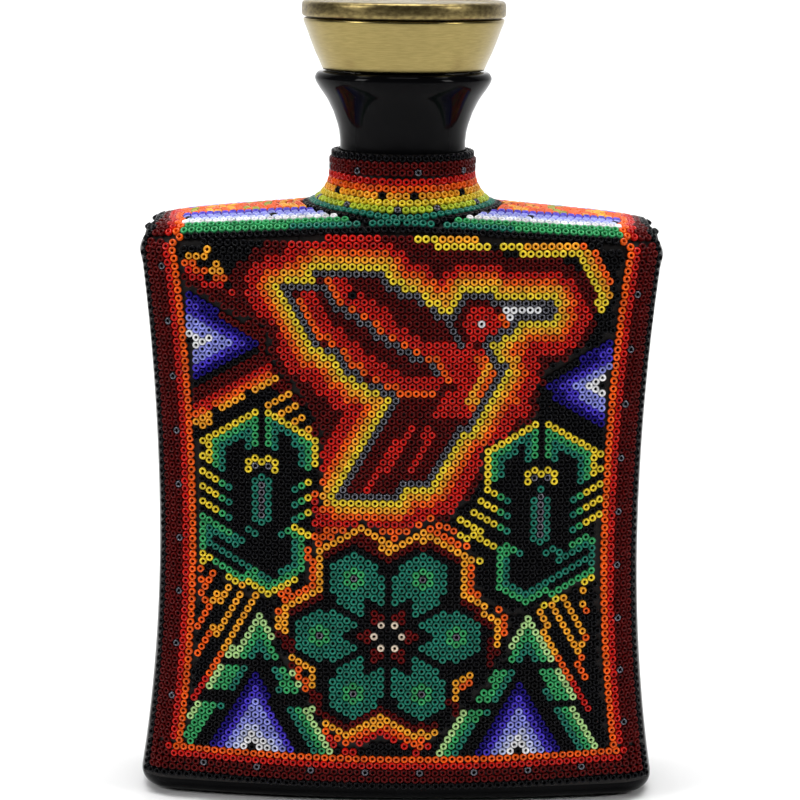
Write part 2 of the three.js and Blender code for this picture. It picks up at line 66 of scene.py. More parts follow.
# ---- seed beads, in mm
BEAD_OUTER = 1.03
BEAD_HOLE = 0.40
BEAD_HEIGHT = 1.36
LIFT = 1.42  # of a bead's middle above the glass
TIGHT, CLOSE, LOOSE = 1.5, 1.6, 1.76  # the least room between the middles of two beads
SHOULDER_ROOM = 1.66
TIP, SPREAD, JITTER = 0.045, 0.018, 0.03  # how unevenly beads lean, are sized and lie
ROW = 1.82  # between nested rows round the borders, shoulders and neck
ALONG = 2.1  # between beads in such a row
FIELD_PITCH, FIELD_ROW = 2.13, 1.865  # the picture's level rows
FIRST_ROW = 13.0
COLUMN_PITCH, COLUMN_STEP = 2.06, 1.785  # the side motifs' upright columns
FLOWER_PITCH = 2.13
BORDER_COLOURS = ["orange", "red", "dark_red", "dark_red", "dark_red", "black"]
LAST_COLUMN = len(BORDER_COLOURS) - 1
BORDER_INSET = 0.62  # from the start of the rounded corner in to the orange column
FOOT_ROWS = [13.0, 11.1, 9.2, 7.3, 5.45]  # heights, from the orange row down
MOST_BEADS = 1000  # in one piece
SAG = 1.1  # the foot rows dip this far in the middle
COLUMN_FOOT = 16.0  # where the upright border columns start
MOUNTAINS_TOP = 58.0
SAG_ROWS = 14  # the picture's rows dip less and less over so many rows
ROW_GAP = 1.6  # the least height of a picture's row above the foot's top row
STROKE = 1.86  # between the rows of a band of colours
PICTURE_HEIGHT = 145.0
PICTURE_FOOT = 2.0  # the picture's own heights are counted from this far below the flask's foot
ACCENT_EVERY = 7  # a steel bead sits in every seventh place of the middle dark red column

COLOURS = {  # of the beads, each with the ending of its slot's name
    "black": ((0.0025, 0.0025, 0.0035), "black"),
    "steel": ((0.10, 0.10, 0.12), "black"),
    "white": ((0.80, 0.80, 0.82), "white"),
    "cream": ((0.75, 0.62, 0.48), "white"),
    "yellow": ((0.78, 0.58, 0.03), "yellow"),
    "amber": ((0.88, 0.36, 0.02), "orange"),
    "orange": ((0.82, 0.105, 0.006), "orange"),
    "red": ((0.50, 0.008, 0.004), "red"),
    "dark_red": ((0.085, 0.003, 0.003), "dark_red"),
    "star_red": ((0.12, 0.004, 0.004), "dark_red"),
    "green": ((0.035, 0.33, 0.11), "green"),
    "teal": ((0.012, 0.17, 0.115), "teal"),
    "pale_green": ((0.42, 0.66, 0.26), "green"),
    "olive": ((0.35, 0.36, 0.03), "green"),
    "navy": ((0.012, 0.006, 0.16), "blue"),
    "blue": ((0.06, 0.035, 0.50), "blue"),
    "lavender": ((0.27, 0.29, 0.74), "blue"),
    "pale_lavender": ((0.52, 0.56, 0.80), "white"),
    "lime": ((0.45, 0.55, 0.03), "green"),
}
NAMES = list(COLOURS)
INDEX = {name: i for i, name in enumerate(NAMES)}

# ---- the flask's surface


def half_width(z):
    """The waisted outline of the glass, seen from the front."""
    width, height = FOOT if z < WAIST[1] else TOP
    share = (z - WAIST[1]) / (height - WAIST[1])
    return WAIST[0] + (width - WAIST[0]) * share * share


def quarter(width, depth, corner):
    """A quarter of the plan outline: a bowed face and a rounded corner."""
    bow = FACE_RADIUS - HALF_DEPTH + depth
    turn = math.asin((width - corner) / (bow - corner))
    return {
        "bow": bow, "turn": turn, "face": bow * turn, "corner": corner, "depth": depth,
        "centre": (width - corner, (bow - corner) * math.cos(turn) - (bow - depth)),
    }


def along(q, distance):
    """A point on one quarter of the plan outline, and its normal."""
    if distance <= q["face"]:
        angle = distance / q["bow"]
        n = (math.sin(angle), math.cos(angle))
        return q["bow"] * n[0], q["bow"] * n[1] - (q["bow"] - q["depth"]), n
    angle = q["turn"] + (distance - q["face"]) / q["corner"]
    n = (math.sin(angle), math.cos(angle))
    return q["centre"][0] + q["corner"] * n[0], q["centre"][1] + q["corner"] * n[1], n


def layer(z, above=LIFT):
    return quarter(half_width(z) + above, HALF_DEPTH + above, CORNER + above)


def shoulder_plane(x, y):
    past = max(0.0, abs(x) - END_FROM)
    slope = RIDGE_Z - SLOPE * math.hypot(x, SOFTNESS)
    return slope - END_DROP * past * past - CROWN * (y / CROWN_AT) ** 2


def sweep_rise(from_axis):
    reach = min(FLARE_RADIUS, max(0.0, FLARE_FOOT - from_axis))
    return FLARE_RADIUS - math.sqrt(FLARE_RADIUS * FLARE_RADIUS - reach * reach)


def shoulder_height(x, y):
    return shoulder_plane(x, y) + sweep_rise(math.hypot(x, y))


def face_top(x):
    q = quarter(TOP[0], HALF_DEPTH, CORNER)
    px, py, _ = along(q, abs(x))
    return shoulder_height(px, py) - TOP_EDGE


# ---- the beads' places


CELL = 2.2  # wider than any gap that is tested


class Beads:
    """Places, normals, colours and zones of all beads, with a quick test for room."""

    def __init__(self):
        self.rows = []
        self.cells = {}

    def _cell(self, p):
        return tuple(math.floor(v / CELL) for v in p)

    def room(self, p, least):
        cx, cy, cz = self._cell(p)
        for i, j, k in itertools.product((-1, 0, 1), repeat=3):
            for q in self.cells.get((cx + i, cy + j, cz + k), ()):
                if (p[0] - q[0]) ** 2 + (p[1] - q[1]) ** 2 + (p[2] - q[2]) ** 2 < least * least:
                    return False
        return True

    def add(self, p, n, colour, zone, least):
        if self.room(p, least):
            self.cells.setdefault(self._cell(p), []).append(p)
            self.rows.append((p, n, colour, zone))


beads = Beads()


def mirrored(sign, side, place, n):
    """A place and a normal of the +x back quarter, moved to another quarter."""
    return (sign * place[0], side * place[1], place[2]), (sign * n[0], side * n[1], n[2])


def on_face(side, x, rise):
    """The middle of a bead on a face, which runs on round the top edge. The rise is along the surface."""
    sign = 1.0 if x >= 0 else -1.0
    past = rise - face_top(x)
    if past <= 0:
        px, py, n = along(layer(rise), abs(x))
        return mirrored(sign, side, (px, py, rise), (*n, 0.0))
    px, py, n = along(quarter(TOP[0], HALF_DEPTH, CORNER), abs(x))
    bend = TOP_EDGE + LIFT
    flat, steep = math.cos(past / bend), math.sin(past / bend)
    out = bend * flat - TOP_EDGE
    place = (px + n[0] * out, py + n[1] * out, face_top(x) + bend * steep)
    return mirrored(sign, side, place, (n[0] * flat, n[1] * flat, steep))


OVER_EDGE = 2.9  # how far round the top edge the picture runs


# ---- drawing with beads


def inside(points, outline):
    x, z = points[:, 0], points[:, 1]
    result = np.zeros(len(points), bool)
    for (ax, az), (bx, bz) in zip(outline, outline[1:] + outline[:1]):
        crosses = (az > z) != (bz > z)
        with np.errstate(divide="ignore", invalid="ignore"):
            at = ax + (z - az) * (bx - ax) / (bz - az)
        result ^= crosses & (x < at)
    return result


def distance(points, line, closed=False):
    pairs = list(zip(line, line[1:] + line[:1])) if closed else list(zip(line, line[1:]))
    best = np.full(len(points), 1e9)
    for a, b in pairs:
        a, b = np.array(a, float), np.array(b, float)
        d = b - a
        t = np.clip(((points - a) @ d) / max(d @ d, 1e-9), 0, 1)
        best = np.minimum(best, np.hypot(*(points - (a + t[:, None] * d)).T))
    return best


class Picture:
    """Paints colours over places on a face, the last one on top."""

    def __init__(self, points):
        self.points = np.asarray(points, float)
        self.colour = np.full(len(points), INDEX["black"])

    def where(self, mask, colour):
        self.colour[mask] = INDEX[colour]

    def area(self, outline, colour):
        self.where(inside(self.points, outline), colour)

    def line(self, line, colour, half=0.97):
        self.where(distance(self.points, line) < half, colour)

    def dots(self, places, colour, reach=1.4):
        """Colours the one bead nearest each place."""
        for place in places:
            away = np.hypot(*(self.points - np.array(place)).T)
            if away.min() < reach:
                self.colour[away.argmin()] = INDEX[colour]

    def halo(self, outline, bands, pitch):
        """Bands of one bead row each, outwards from a closed outline's own row."""
        d = distance(self.points, outline, closed=True)
        out = ~inside(self.points, outline)
        for k, colour in enumerate(bands):
            if colour:
                reach = (d > (k - 0.5) * pitch) & (d <= (k + 0.5) * pitch)
                self.where(reach & (out | (k == 0)), colour)


def shifted(line, dx, dz):
    return [(x + dx, z + dz) for x, z in line]


def hex_distance(points, centre):
    """Rings of beads from a centre, in a field of upright columns."""
    d = np.asarray(points) - np.array(centre)
    spans = [abs(d[:, 0] * math.cos(a) + d[:, 1] * math.sin(a)) for a in (0, math.pi / 3, -math.pi / 3)]
    return np.max(spans, axis=0) / (FLOWER_PITCH * math.cos(math.pi / 6))


BIRD = [
    (-22.6, 145), (-22, 147.2), (-5.5, 147.3), (-4, 143.8), (2, 142.2), (4.8, 140.4), (8.2, 138.2),
    (11.3, 136.2), (13.4, 136.2), (15.8, 139.9), (17, 141.7), (23, 141.7), (24.5, 139.6), (39.6, 139.6),
    (40, 136), (29.5, 135.9), (28.2, 132.8), (24.6, 130.4), (21.8, 128.2), (24, 125.3), (26.8, 123),
    (27, 120.5), (25.5, 117.5), (23.8, 114.6), (21.5, 111), (19, 107.5), (16.5, 106), (14.5, 103.6),
    (12, 100.4), (9.5, 96.5), (8, 92.3), (1, 92.2), (-0.5, 88.3), (-16.2, 88.3), (-12, 96),
    (-8.6, 101.5), (-4.6, 109), (-2, 113.5), (-1.8, 116), (-5.5, 116.8), (-10.6, 119.4), (-15, 123.2),
    (-17.5, 126.4), (-22, 128.5), (-27, 135.7), (-31, 142.8), (-22.6, 142.8),
]
WING_DIVIDER = [
    (-20.5, 143.2), (-19.2, 141.1), (-16.5, 137.6), (-14.9, 137.4), (-11.4, 135.8), (-7.2, 132.2),
    (-2.9, 128.8), (0, 127), (2.9, 125.5), (7.9, 123.7), (9, 121.8),
]
UPPER_WING_EDGE = [
    (-19.2, 144.9), (-17, 141.1), (-15.7, 139.3), (-12.5, 137.8), (-9.3, 136), (-6.1, 134.2),
    (-4, 130.8), (-0.8, 129.1), (2.2, 127.4), (4.9, 125.5), (9.3, 125.5), (10.2, 123.7), (12.2, 119.9),
]
LOWER_WING_EDGE = [
    (-26.6, 139), (-24.4, 135.3), (-22.1, 131.8), (-19.9, 130), (-17.8, 128), (-15, 126),
    (-12.8, 124.2), (-10.6, 122.5), (-8.5, 120.7), (-5.4, 118.7), (-2, 117.6), (0, 116.4), (8, 116.4),
]
LEFT_COLUMN_ZONE = [
    (-66, 142), (-56, 141.5), (-36, 131.5), (-34.5, 123.5), (-26, 114), (-22, 104), (-22, 92),
    (-23, 76), (-25.6, 63.5), (-33.5, 58.9), (-40, 61), (-52, 68.5), (-66, 69),
]
RIGHT_COLUMN_ZONE = [
    (66, 130.5), (56, 130), (37, 119), (36.5, 109.5), (22.5, 101.3), (22.3, 92.5), (17.5, 85),
    (12.5, 79.5), (20.5, 72.2), (21.6, 62.3), (28, 56), (36.5, 56.6), (53, 65.5), (66, 70),
]
FLOWER_AT = (-2.6, 49.3)
FLOWER_ZONE = [
    (-33, 58), (-24, 62.6), (-23.6, 73.4), (-10.4, 80.6), (-1.3, 75.2), (8.2, 80.2), (20.8, 72),
    (20.4, 62.2), (29.2, 55.4), (29.2, 44), (21, 33), (13, 23.5), (6, 18.6), (-4, 21), (-13, 18.6),
    (-21, 25), (-26, 36), (-33, 46),
]
SCALLOP = [
    (-31.2, 50.3), (-31.1, 56.9), (-21.8, 61.6), (-21.6, 72.4), (-10.3, 78.4), (-1.3, 73), (8.2, 77.8),
    (18.7, 71), (18.1, 60.3), (26.6, 54.3), (26.4, 47.9),
]
LOWER_SCALLOP = [(-18.4, 24.7), (-13.2, 21), (-3.8, 26.2), (5, 20.9), (10.6, 23.7)]


def paint_bird(p):
    left = p.points[:, 0] < 18
    bands = ["steel", "yellow", "amber", "orange", "red", "red", "dark_red"]
    p.halo(BIRD, bands, STROKE)
    d = distance(p.points, BIRD, closed=True)
    far = (d > 6.5 * STROKE) & (d < 8.6 * STROKE) & left & ~inside(p.points, BIRD)
    p.where(far, "dark_red")
    over_head = (p.points[:, 1] > 141) & (p.points[:, 0] > -6)
    p.where((d > 4.5 * STROKE) & (d < 5.5 * STROKE) & over_head, "dark_red")
    within = inside(p.points, BIRD) & (d > 0.93)
    p.where(within, "dark_red")
    keep = p.colour.copy()
    for edge in (LOWER_WING_EDGE, UPPER_WING_EDGE):
        p.line(shifted(edge, 1.2, 2.6), "red", 1.9)
        p.line(edge, "orange", 1.0)
    p.area([(6, 127.5), (16, 129.8), (22, 127.8), (24.5, 124), (25.6, 119), (23.2, 114.5), (20, 110),
            (14, 108.6), (8, 108.6), (9.5, 112.5), (14, 117.5), (12.5, 121.5), (9.5, 125.5)], "red")
    p.line(WING_DIVIDER, "steel", 0.95)
    p.area([(20, 125.4), (26, 125.2), (25.9, 120.5), (23.2, 116), (20.9, 111), (17, 112), (17.2, 116),
            (19.6, 118.5), (20.6, 121.5)], "orange")
    p.line([(23, 124), (21.4, 119.4), (19.2, 113.6)], "amber", 1.15)
    p.where(np.hypot(*(p.points - np.array((21.2, 134.6))).T) < 5.4, "red")
    p.line([(25.9, 136.2), (27, 134.3), (25.6, 132)], "orange", 0.95)
    p.dots([(20.9, 134.4)], "white")
    p.line([(11.8, 135.3), (13.4, 132.4), (15.8, 128.9)], "steel", 0.8)
    for foot, tip in (((-8, 90.3), (-1.6, 103.5)), ((-2.4, 95), (3.2, 106)), ((2.6, 94.6), (8.4, 106.4))):
        p.line([foot, tip], "red", 1.0)
    p.dots([(-12.3, 142.3)], "black")
    p.colour[~within] = keep[~within]
    p.line([(24.5, 139.6), (39.4, 139.6), (39.6, 136), (29.6, 135.9)], "steel", 0.95)
    p.area([(28, 138.8), (39.5, 138.8), (39.5, 136.8), (28, 136.8)], "steel")
    p.line([(26.9, 137.8), (37.2, 137.8)], "white", 0.95)
    p.dots([(27.9, 135.9)], "white")


def paint_top(p):
    p.area([(-66, 172), (-66, 146), (-50, 141), (-45, 141), (-46, 147), (-40, 152), (-37, 155),
            (-33, 157), (-28, 158.3), (8.6, 158.3), (8.6, 172)], "black")
    p.area([(8.6, 172), (8.6, 157.2), (42, 157.2), (50.5, 154.8), (56, 143.5), (66, 143.5), (66, 172)],
           "black")
    p.area([(50.5, 139), (66, 145), (66, 128), (55, 129.6), (47, 128), (42, 122), (42, 119), (38, 118),
            (37, 112), (52, 102), (66, 100), (66, 128)], "black")
    p.line([(-58, 144.4), (-48, 140.4)], "dark_red", 2.2)
    p.line([(-58.5, 147.6), (-47.9, 142.8)], "red", 1.0)
    p.line([(-57.8, 149.8), (-46.5, 144.8)], "orange", 1.0)
    p.dots([(-56.2, 151.2), (-54.3, 152.3), (-52.3, 151.2), (-50.7, 152.7), (-54.2, 150.2), (-48.8, 149.2),
            (-50.6, 148), (-48.6, 147.1)], "amber")
    p.dots([(-44.4, 141.3), (-33.9, 123)], "red")
    p.line([(3.8, 156.3), (9, 156.3)], "yellow")
    p.line([(9.6, 156.2), (32, 156.2)], "amber")
    p.line([(33.6, 156.2), (40.4, 156.2)], "orange")
    p.line([(32.2, 154.4), (47.4, 154.4), (49.5, 152.4), (55, 141.2)], "amber")
    p.line([(47.4, 154.4), (50.7, 153.4), (55.6, 143)], "orange")
    p.line([(49.4, 152.2), (54.6, 141)], "amber")
    p.line([(9.7, 154.4), (31, 154.4)], "yellow")
    p.line([(32, 152.5), (46.8, 152.4), (48, 150.6), (54.2, 138)], "yellow")
    p.dots([(24.8, 154.4)], "black")


def shade(p, within, depth, middle, deep):
    """Blues that lighten inwards."""
    p.where(within, "navy")
    p.where(within & (depth > middle), "blue")
    p.where(within & (depth > deep), "lavender")


def paint_side_triangle(p, base_x, centre_z, apex_x, half):
    side = 1 if apex_x > base_x else -1
    outline = [(base_x - side * 3, centre_z + half), (base_x, centre_z + half), (apex_x, centre_z),
               (base_x, centre_z - half), (base_x - side * 3, centre_z - half)]
    within = inside(p.points, outline)
    shade(p, within, distance(p.points, outline[1:4]), 2.0, 4.0)
    x = abs(p.points[:, 0] - base_x) / 8.5 + abs(p.points[:, 1] - centre_z) / 3.6
    p.where(within & (x < 1), "white")
    p.dots([(base_x + side * 0.9, centre_z)], "black")


def paint_steps(p):
    """Stepped blocks under the left triangle, in bands that climb to the right."""
    for x, z, length in ((-33.8, 119.5, 6.6), (-42.2, 113.6, 6.4), (-50.7, 108, 3.8)):
        dx, dz = -length * math.cos(math.pi / 6), -length * math.sin(math.pi / 6)
        for k, colour in enumerate(["dark_red", "dark_red", "red", "orange", "amber"]):
            up = COLUMN_PITCH * (4 - k)
            back = 0.45 * (4 - k)
            longer = 1 + 0.28 * (4 - k)
            start = (x - back, z + up - 0.5 * back)
            p.line([start, (x + dx * longer - back, z + dz * longer + up - 0.5 * back)], colour, 1.0)


def paint_sprout(p, left):
    """A sprouting plant: a roof of leaves, ribs, a central stem and a bowl-shaped foot."""
    at = (lambda line: line) if left else (lambda line: [(-x + 0.9, z - 3.05) for x, z in line])

    def line(points, colour, half=0.95):
        p.line(at(points), colour, half)

    def dots(points, colour):
        p.dots(at(points), colour)

    p.area(at([(-54.2, 103), (-36.7, 112.6), (-22.2, 104), (-22.2, 92), (-23.4, 74), (-25.4, 64),
               (-33.5, 59), (-41, 61.4), (-54.6, 70)]), "black")
    line([(-52.3, 102.4), (-38.5, 110.4)], "yellow")
    line([(-34.9, 110.4), (-23.2, 103), (-23.2, 95.2)], "yellow")
    line([(-49.1, 102.2), (-38.5, 108.2), (-38.5, 102)], "green")
    line([(-49.1, 102.2), (-49.1, 95.6)], "green")
    line([(-47.4, 100.6), (-40.4, 105.2), (-40.4, 101)], "teal")
    line([(-47.4, 101), (-47.4, 94.5)], "teal")
    line([(-34.9, 108.4), (-25, 102), (-25, 95)], "green")
    line([(-34.9, 108.2), (-34.9, 102)], "green")
    line([(-33.2, 106.6), (-26.7, 102), (-26.7, 96)], "teal")
    line([(-33.2, 106.6), (-33.2, 101)], "teal")
    dots([(-50.8, 101.3), (-50.8, 98.9), (-52.5, 97.8), (-50.8, 96.7)], "yellow")
    for z in (93.4, 89.1, 84.8):
        dots([(-52.8, z), (-51, z - 1.03), (-49.2, z - 2.06)], "yellow")
        dots([(-47.4, z - 3.1)], "green")
        dots([(-45.6, z - 4.1)], "teal")
    if left:
        for z in (91.4, 87, 82.5):
            dots([(-24.5, z)], "yellow")
            dots([(-26.2, z - 1.2)], "green")
            dots([(-28, z - 2.3)], "teal")
        line([(-28, 78.6), (-24.4, 76.4)], "yellow")
    line([(-40.6, 94), (-40.6, 96.3), (-39, 97.4), (-37, 96.3), (-35.2, 97.4), (-33.6, 96.2), (-33.6, 94)],
         "yellow", 0.85)
    dots([(-38.9, 95.1), (-35.3, 95.2)], "steel")
    line([(-38.9, 90.8), (-38.9, 80.3)], "teal")
    line([(-35, 90.8), (-35, 80.3)], "teal")
    dots([(-37, 92), (-37, 79)], "teal")
    line([(-37, 90.2), (-37, 81)], "steel")
    line([(-53.3, 80.7), (-53.3, 71.8)], "green")
    line([(-51.3, 77.5), (-51.3, 73)], "teal")
    line([(-51.4, 73.6), (-37, 65.6), (-33.5, 64), (-27.9, 68), (-27.9, 74)], "teal")
    line([(-53.2, 80.5), (-45.8, 76.4)], "green")
    line([(-51.6, 77.4), (-42, 74.2)], "teal", 1.1)
    line([(-53.3, 71.8), (-40.8, 64.6), (-38.9, 65.8), (-33.5, 62.4), (-26.2, 66.6), (-26.2, 75.4),
          (-29.7, 77.4)], "green")
    dots([(-31.6, 76.3), (-40.8, 77), (-38.9, 76)], "teal")
    if left:
        line([(-52.9, 69.8), (-41, 62.4), (-39, 63.7), (-33.5, 60.3), (-26.4, 64.6)], "yellow")
    else:
        line([(-52.9, 69.8), (-38.2, 61.2)], "yellow")


def paint_right_ribs(p):
    for x, z, steps in ((23.1, 90.1, 2), (21.5, 86.8, 3), (19.5, 83.4, 4)):
        run = [(x + COLUMN_STEP * k, z - 1.08 * k) for k in range(steps + 2)]
        p.dots(run[:steps], "yellow")
        p.dots(run[steps:steps + 1], "green")
        p.dots(run[steps + 1:], "teal")
    p.line([(16.1, 81.2), (26.3, 74.6)], "yellow")
    p.line([(13.6, 78.3), (18.9, 75.1)], "yellow")
    p.dots([(22.3, 71)], "yellow")


def paint_stripes(p):
    """Cords that fan out from the sprouts' feet to the borders."""
    for line in (
        [(-52.5, 67.7), (-53.9, 63.6)], [(-49, 66), (-53, 58.2)],
        [(-45.6, 63.6), (-53, 51.2), (-55.4, 47.2)], [(-42, 61.6), (-54.8, 41)], [(-38, 60.3), (-56, 31)],
        [(37.3, 57), (45, 40.6), (52.6, 28.4)], [(40.9, 59.2), (52, 37)], [(45, 61.3), (51, 46.8)],
        [(48.5, 63.5), (51.6, 56)],
    ):
        p.line(line, "amber", 0.95)
        near = distance(p.points, line) < 0.95
        p.where(near & (abs(p.points[:, 0]) > 50.5), "orange")
        p.where(near & (p.points[:, 1] < 43), "orange")
        p.where(near & (p.points[:, 1] < 36.5), "red")
    p.line([(-49, 66), (-53, 58.2)], "orange", 0.95)


def paint_mountain(p, apex, slopes, core):
    """A mountain: broken green edges on both slopes round a shaded blue core."""
    d = p.points - np.array(apex)
    for side, slope in zip((-1, 1), slopes):
        across = d[:, 0] * side
        deep = (-d[:, 1] - across * slope) / math.hypot(1, slope)
        inner = across > -0.6
        for high, low in ((1.6, -12.2), (-14.6, -22.8), (-25.4, -38.5)):
            part = (d[:, 1] < high) & (d[:, 1] > low) & inner
            p.where(part & (abs(deep) < 0.95), "pale_green")
            p.where(part & (deep >= 0.95) & (deep < 3.2), "green")
            p.where(part & (deep >= 3.2) & (deep < 4.9), "teal")
    (x, top), half, foot = core
    outline = [(x - half, foot), (x, top), (x + half, foot)]
    p.area([(x - half - 1.9, foot - 3), (x, top + 3.5), (x + half + 1.9, foot - 3)], "black")
    within = inside(p.points, [(x - half - 0.9, foot - 2), (x, top + 1), (x + half + 0.9, foot - 2)])
    shade(p, within, distance(p.points, outline), 1.3, 3.2)
    glow = abs(p.points[:, 0] - x) / 5.6 + abs(p.points[:, 1] - foot) / 6.8
    p.where(within & (glow < 1.15), "pale_lavender")
    p.where(within & (glow < 0.75), "white")
    p.dots([(x, foot + 0.6)], "black")


PETAL_AT, PETAL_SIZE, PETAL_TAIL = 18.45, 3.35, 3.8  # middle, rings of beads, and reach inwards
HEART = 3.69  # the cream beads stand this far from the flower's middle


def paint_flower(p, at, scallops=True):
    zone = shifted(FLOWER_ZONE, at[0] - FLOWER_AT[0], at[1] - FLOWER_AT[1])
    p.area(zone, "black")
    if scallops:
        p.line(shifted(SCALLOP, 0, -1.9), "dark_red", 1.25)
        p.line([(-29.4, 49.5), (-29.2, 41)], "dark_red", 0.95)
        p.line([(24.6, 49), (24.4, 41)], "dark_red", 0.95)
        p.line(shifted(LOWER_SCALLOP, 0, 2), "dark_red", 1.1)
        p.line([(-22.8, 33), (-19.5, 27)], "dark_red", 1.2)
        p.line([(15, 32), (15.5, 27)], "dark_red", 1.2)
        for high in (3.8, 2.0):
            p.line(shifted(SCALLOP[2:9], 0, high), "orange", 1.0)
        p.line([(-31, 59), (-21.8, 63.8)], "orange", 1.6)
        p.line([(-33, 57.4), (-33, 52)], "orange", 0.95)
        p.line([(-23.6, 62.5), (-23.5, 73.4)], "orange", 0.95)
        p.line([(20.4, 71.6), (20.2, 61.5), (28.2, 56.2), (28.4, 51)], "orange", 1.1)
        p.line(SCALLOP, "amber", 0.97)
        p.line([(-26.4, 38.9), (-24.6, 36.2), (-24.6, 34.4)], "orange", 0.95)
        p.line([(-28.2, 42.4), (-22.9, 38.9), (-23, 34.4)], "amber", 0.95)
        p.line([(18.6, 36.4), (16.6, 35)], "orange", 0.95)
        p.line([(20.4, 38.8), (16.6, 36.7), (16.5, 32.5)], "amber", 0.95)
        for drop in (3.8, 2.0):
            p.line(shifted(LOWER_SCALLOP, 0, -drop), "orange" if drop < 3 else "red", 1.0)
        p.line(LOWER_SCALLOP, "amber", 0.97)
    for k in range(6):
        way = np.array([math.cos(k * math.pi / 3), math.sin(k * math.pi / 3)])
        centre = np.array(at) + PETAL_AT * way
        rings = hex_distance(p.points, centre)
        inward = hex_distance(p.points, centre - PETAL_TAIL * way)
        r = (p.points - np.array(at)) @ way
        off = abs((p.points - np.array(at)) @ np.array([-way[1], way[0]]))
        petal = (np.minimum(rings, inward) < PETAL_SIZE) & (off < 0.5 * r)
        p.where(petal & (r > 13.2 - 1.8 * off), "teal")
        p.where(rings < 1.3, "green")
        p.where(rings < 0.45, "steel")
        arm = (r > 4.3) & (r < 9.6) & (off < 2.9 - abs(r - 6.2) * 0.85)
        p.where(arm, "star_red")
        p.dots([tuple(np.array(at) + HEART * way)], "cream")


def front_colours(points):
    p = Picture(points)
    paint_bird(p)
    paint_top(p)
    p.area([(-66, 141), (-45, 133), (-36, 128), (-31, 118), (-24, 108), (-22, 92), (-24, 75), (-26, 60),
            (-66, 60)], "black")
    p.line([(-54, 141.5), (-35.5, 132)], "dark_red", 2.6)
    p.line([(-34.8, 128), (-36.5, 121.5), (-31, 117.5)], "dark_red", 2.2)
    paint_side_triangle(p, -57.2, 128.7, -36.4, 13)
    paint_steps(p)
    for x, z, steps in ((-36.3, 111.2, 5), (-31.4, 109.8, 3), (-27.9, 107.2, 2), (-24.5, 105.2, 1)):
        p.dots([(x + COLUMN_STEP * k, z + 1.1 * k) for k in range(steps)], "amber")
    paint_side_triangle(p, 56, 117.3, 37.2, 12.5)
    p.area([(22.6, 98), (22.4, 92.5), (19, 88), (14, 83), (11, 80), (20.5, 70), (25, 90)], "black")
    paint_sprout(p, left=True)
    paint_sprout(p, left=False)
    paint_right_ribs(p)
    paint_stripes(p)
    paint_mountain(p, (-37.4, 55), (1.63, 1.94), ((-38.8, 37.7), 11.8, 17.3))
    paint_mountain(p, (34.8, 54.3), (1.63, 1.82), ((33.2, 36.7), 12.3, 16.4))
    over_flower = inside(p.points, BIRD) | (distance(p.points, BIRD, closed=True) < 4.4 * STROKE)
    saved = p.colour.copy()
    paint_flower(p, FLOWER_AT)
    p.colour[over_flower] = saved[over_flower]
    return p.colour


BACK_FLOWER_AT = (0.0, 92.0)
BACK_FLOWER_REACH = 29.0
BACK_FRAME = 31.5  # from its middle to the corners of the hexagon round it


def back_colours(points):
    p = Picture(points)
    at = BACK_FLOWER_AT
    turns = [k * math.pi / 3 for k in range(6)]
    hexagon = [(at[0] + BACK_FRAME * math.sin(turn), at[1] + BACK_FRAME * math.cos(turn)) for turn in turns]
    paint_flower(p, at, scallops=False)
    p.halo(hexagon, ["amber", "orange", "red", "red", "dark_red", "dark_red", "dark_red"], STROKE)
    for x in (-36, 36):
        paint_mountain(p, (x, 55), (1.75, 1.75), ((x, 37.5), 12, 17))
    for side in (-1, 1):
        paint_side_triangle(p, side * 57.5, 128, side * 38, 12)
    return p.colour


# ---- laying the beads


def border_start(z):
    """How far across a face its orange border column stands."""
    return layer(z)["face"] - BORDER_INSET


def field_limit(z):
    return border_start(z) - 1.7


def column_field(origin, pitch, step, zone):
    """Places in upright nested columns that fall inside a zone."""
    (left, low), (right, high) = np.min(zone, axis=0) - origin, np.max(zone, axis=0) - origin
    places = []
    for i in range(math.floor(left / step), math.ceil(right / step) + 1):
        x = origin[0] + i * step
        lag = 0.5 * pitch if i % 2 else 0.0
        for j in range(math.floor(low / pitch), math.ceil(high / pitch) + 1):
            places.append((x, origin[1] + j * pitch + lag))
    points = np.array(places)
    points = points[inside(points, zone)] - (0, PICTURE_FOOT)
    return [tuple(q) for q in points if abs(q[0]) < field_limit(q[1]) and q[1] < face_top(q[0]) + OVER_EDGE]


def foot_row(row, x):
    """The height of a row of the foot border, which dips in the middle."""
    return FOOT_ROWS[row] + SAG * (x / 53.0) ** 2


def row_field():
    """Places in the level nested rows of the ground."""
    places = []
    rows = int(PICTURE_HEIGHT / FIELD_ROW)
    for j in range(1, rows + 1):
        level = FIRST_ROW + j * FIELD_ROW
        lag = 0.5 * FIELD_PITCH if j % 2 else 0.0
        for i in range(-30, 31):
            x = i * FIELD_PITCH + lag
            z = level + SAG * (x / 53.0) ** 2 * max(0.0, 1 - j / SAG_ROWS)
            if z > foot_row(0, x) + ROW_GAP and abs(x) < field_limit(z) and z < face_top(x) + OVER_EDGE:
                places.append((x, z))
    return places


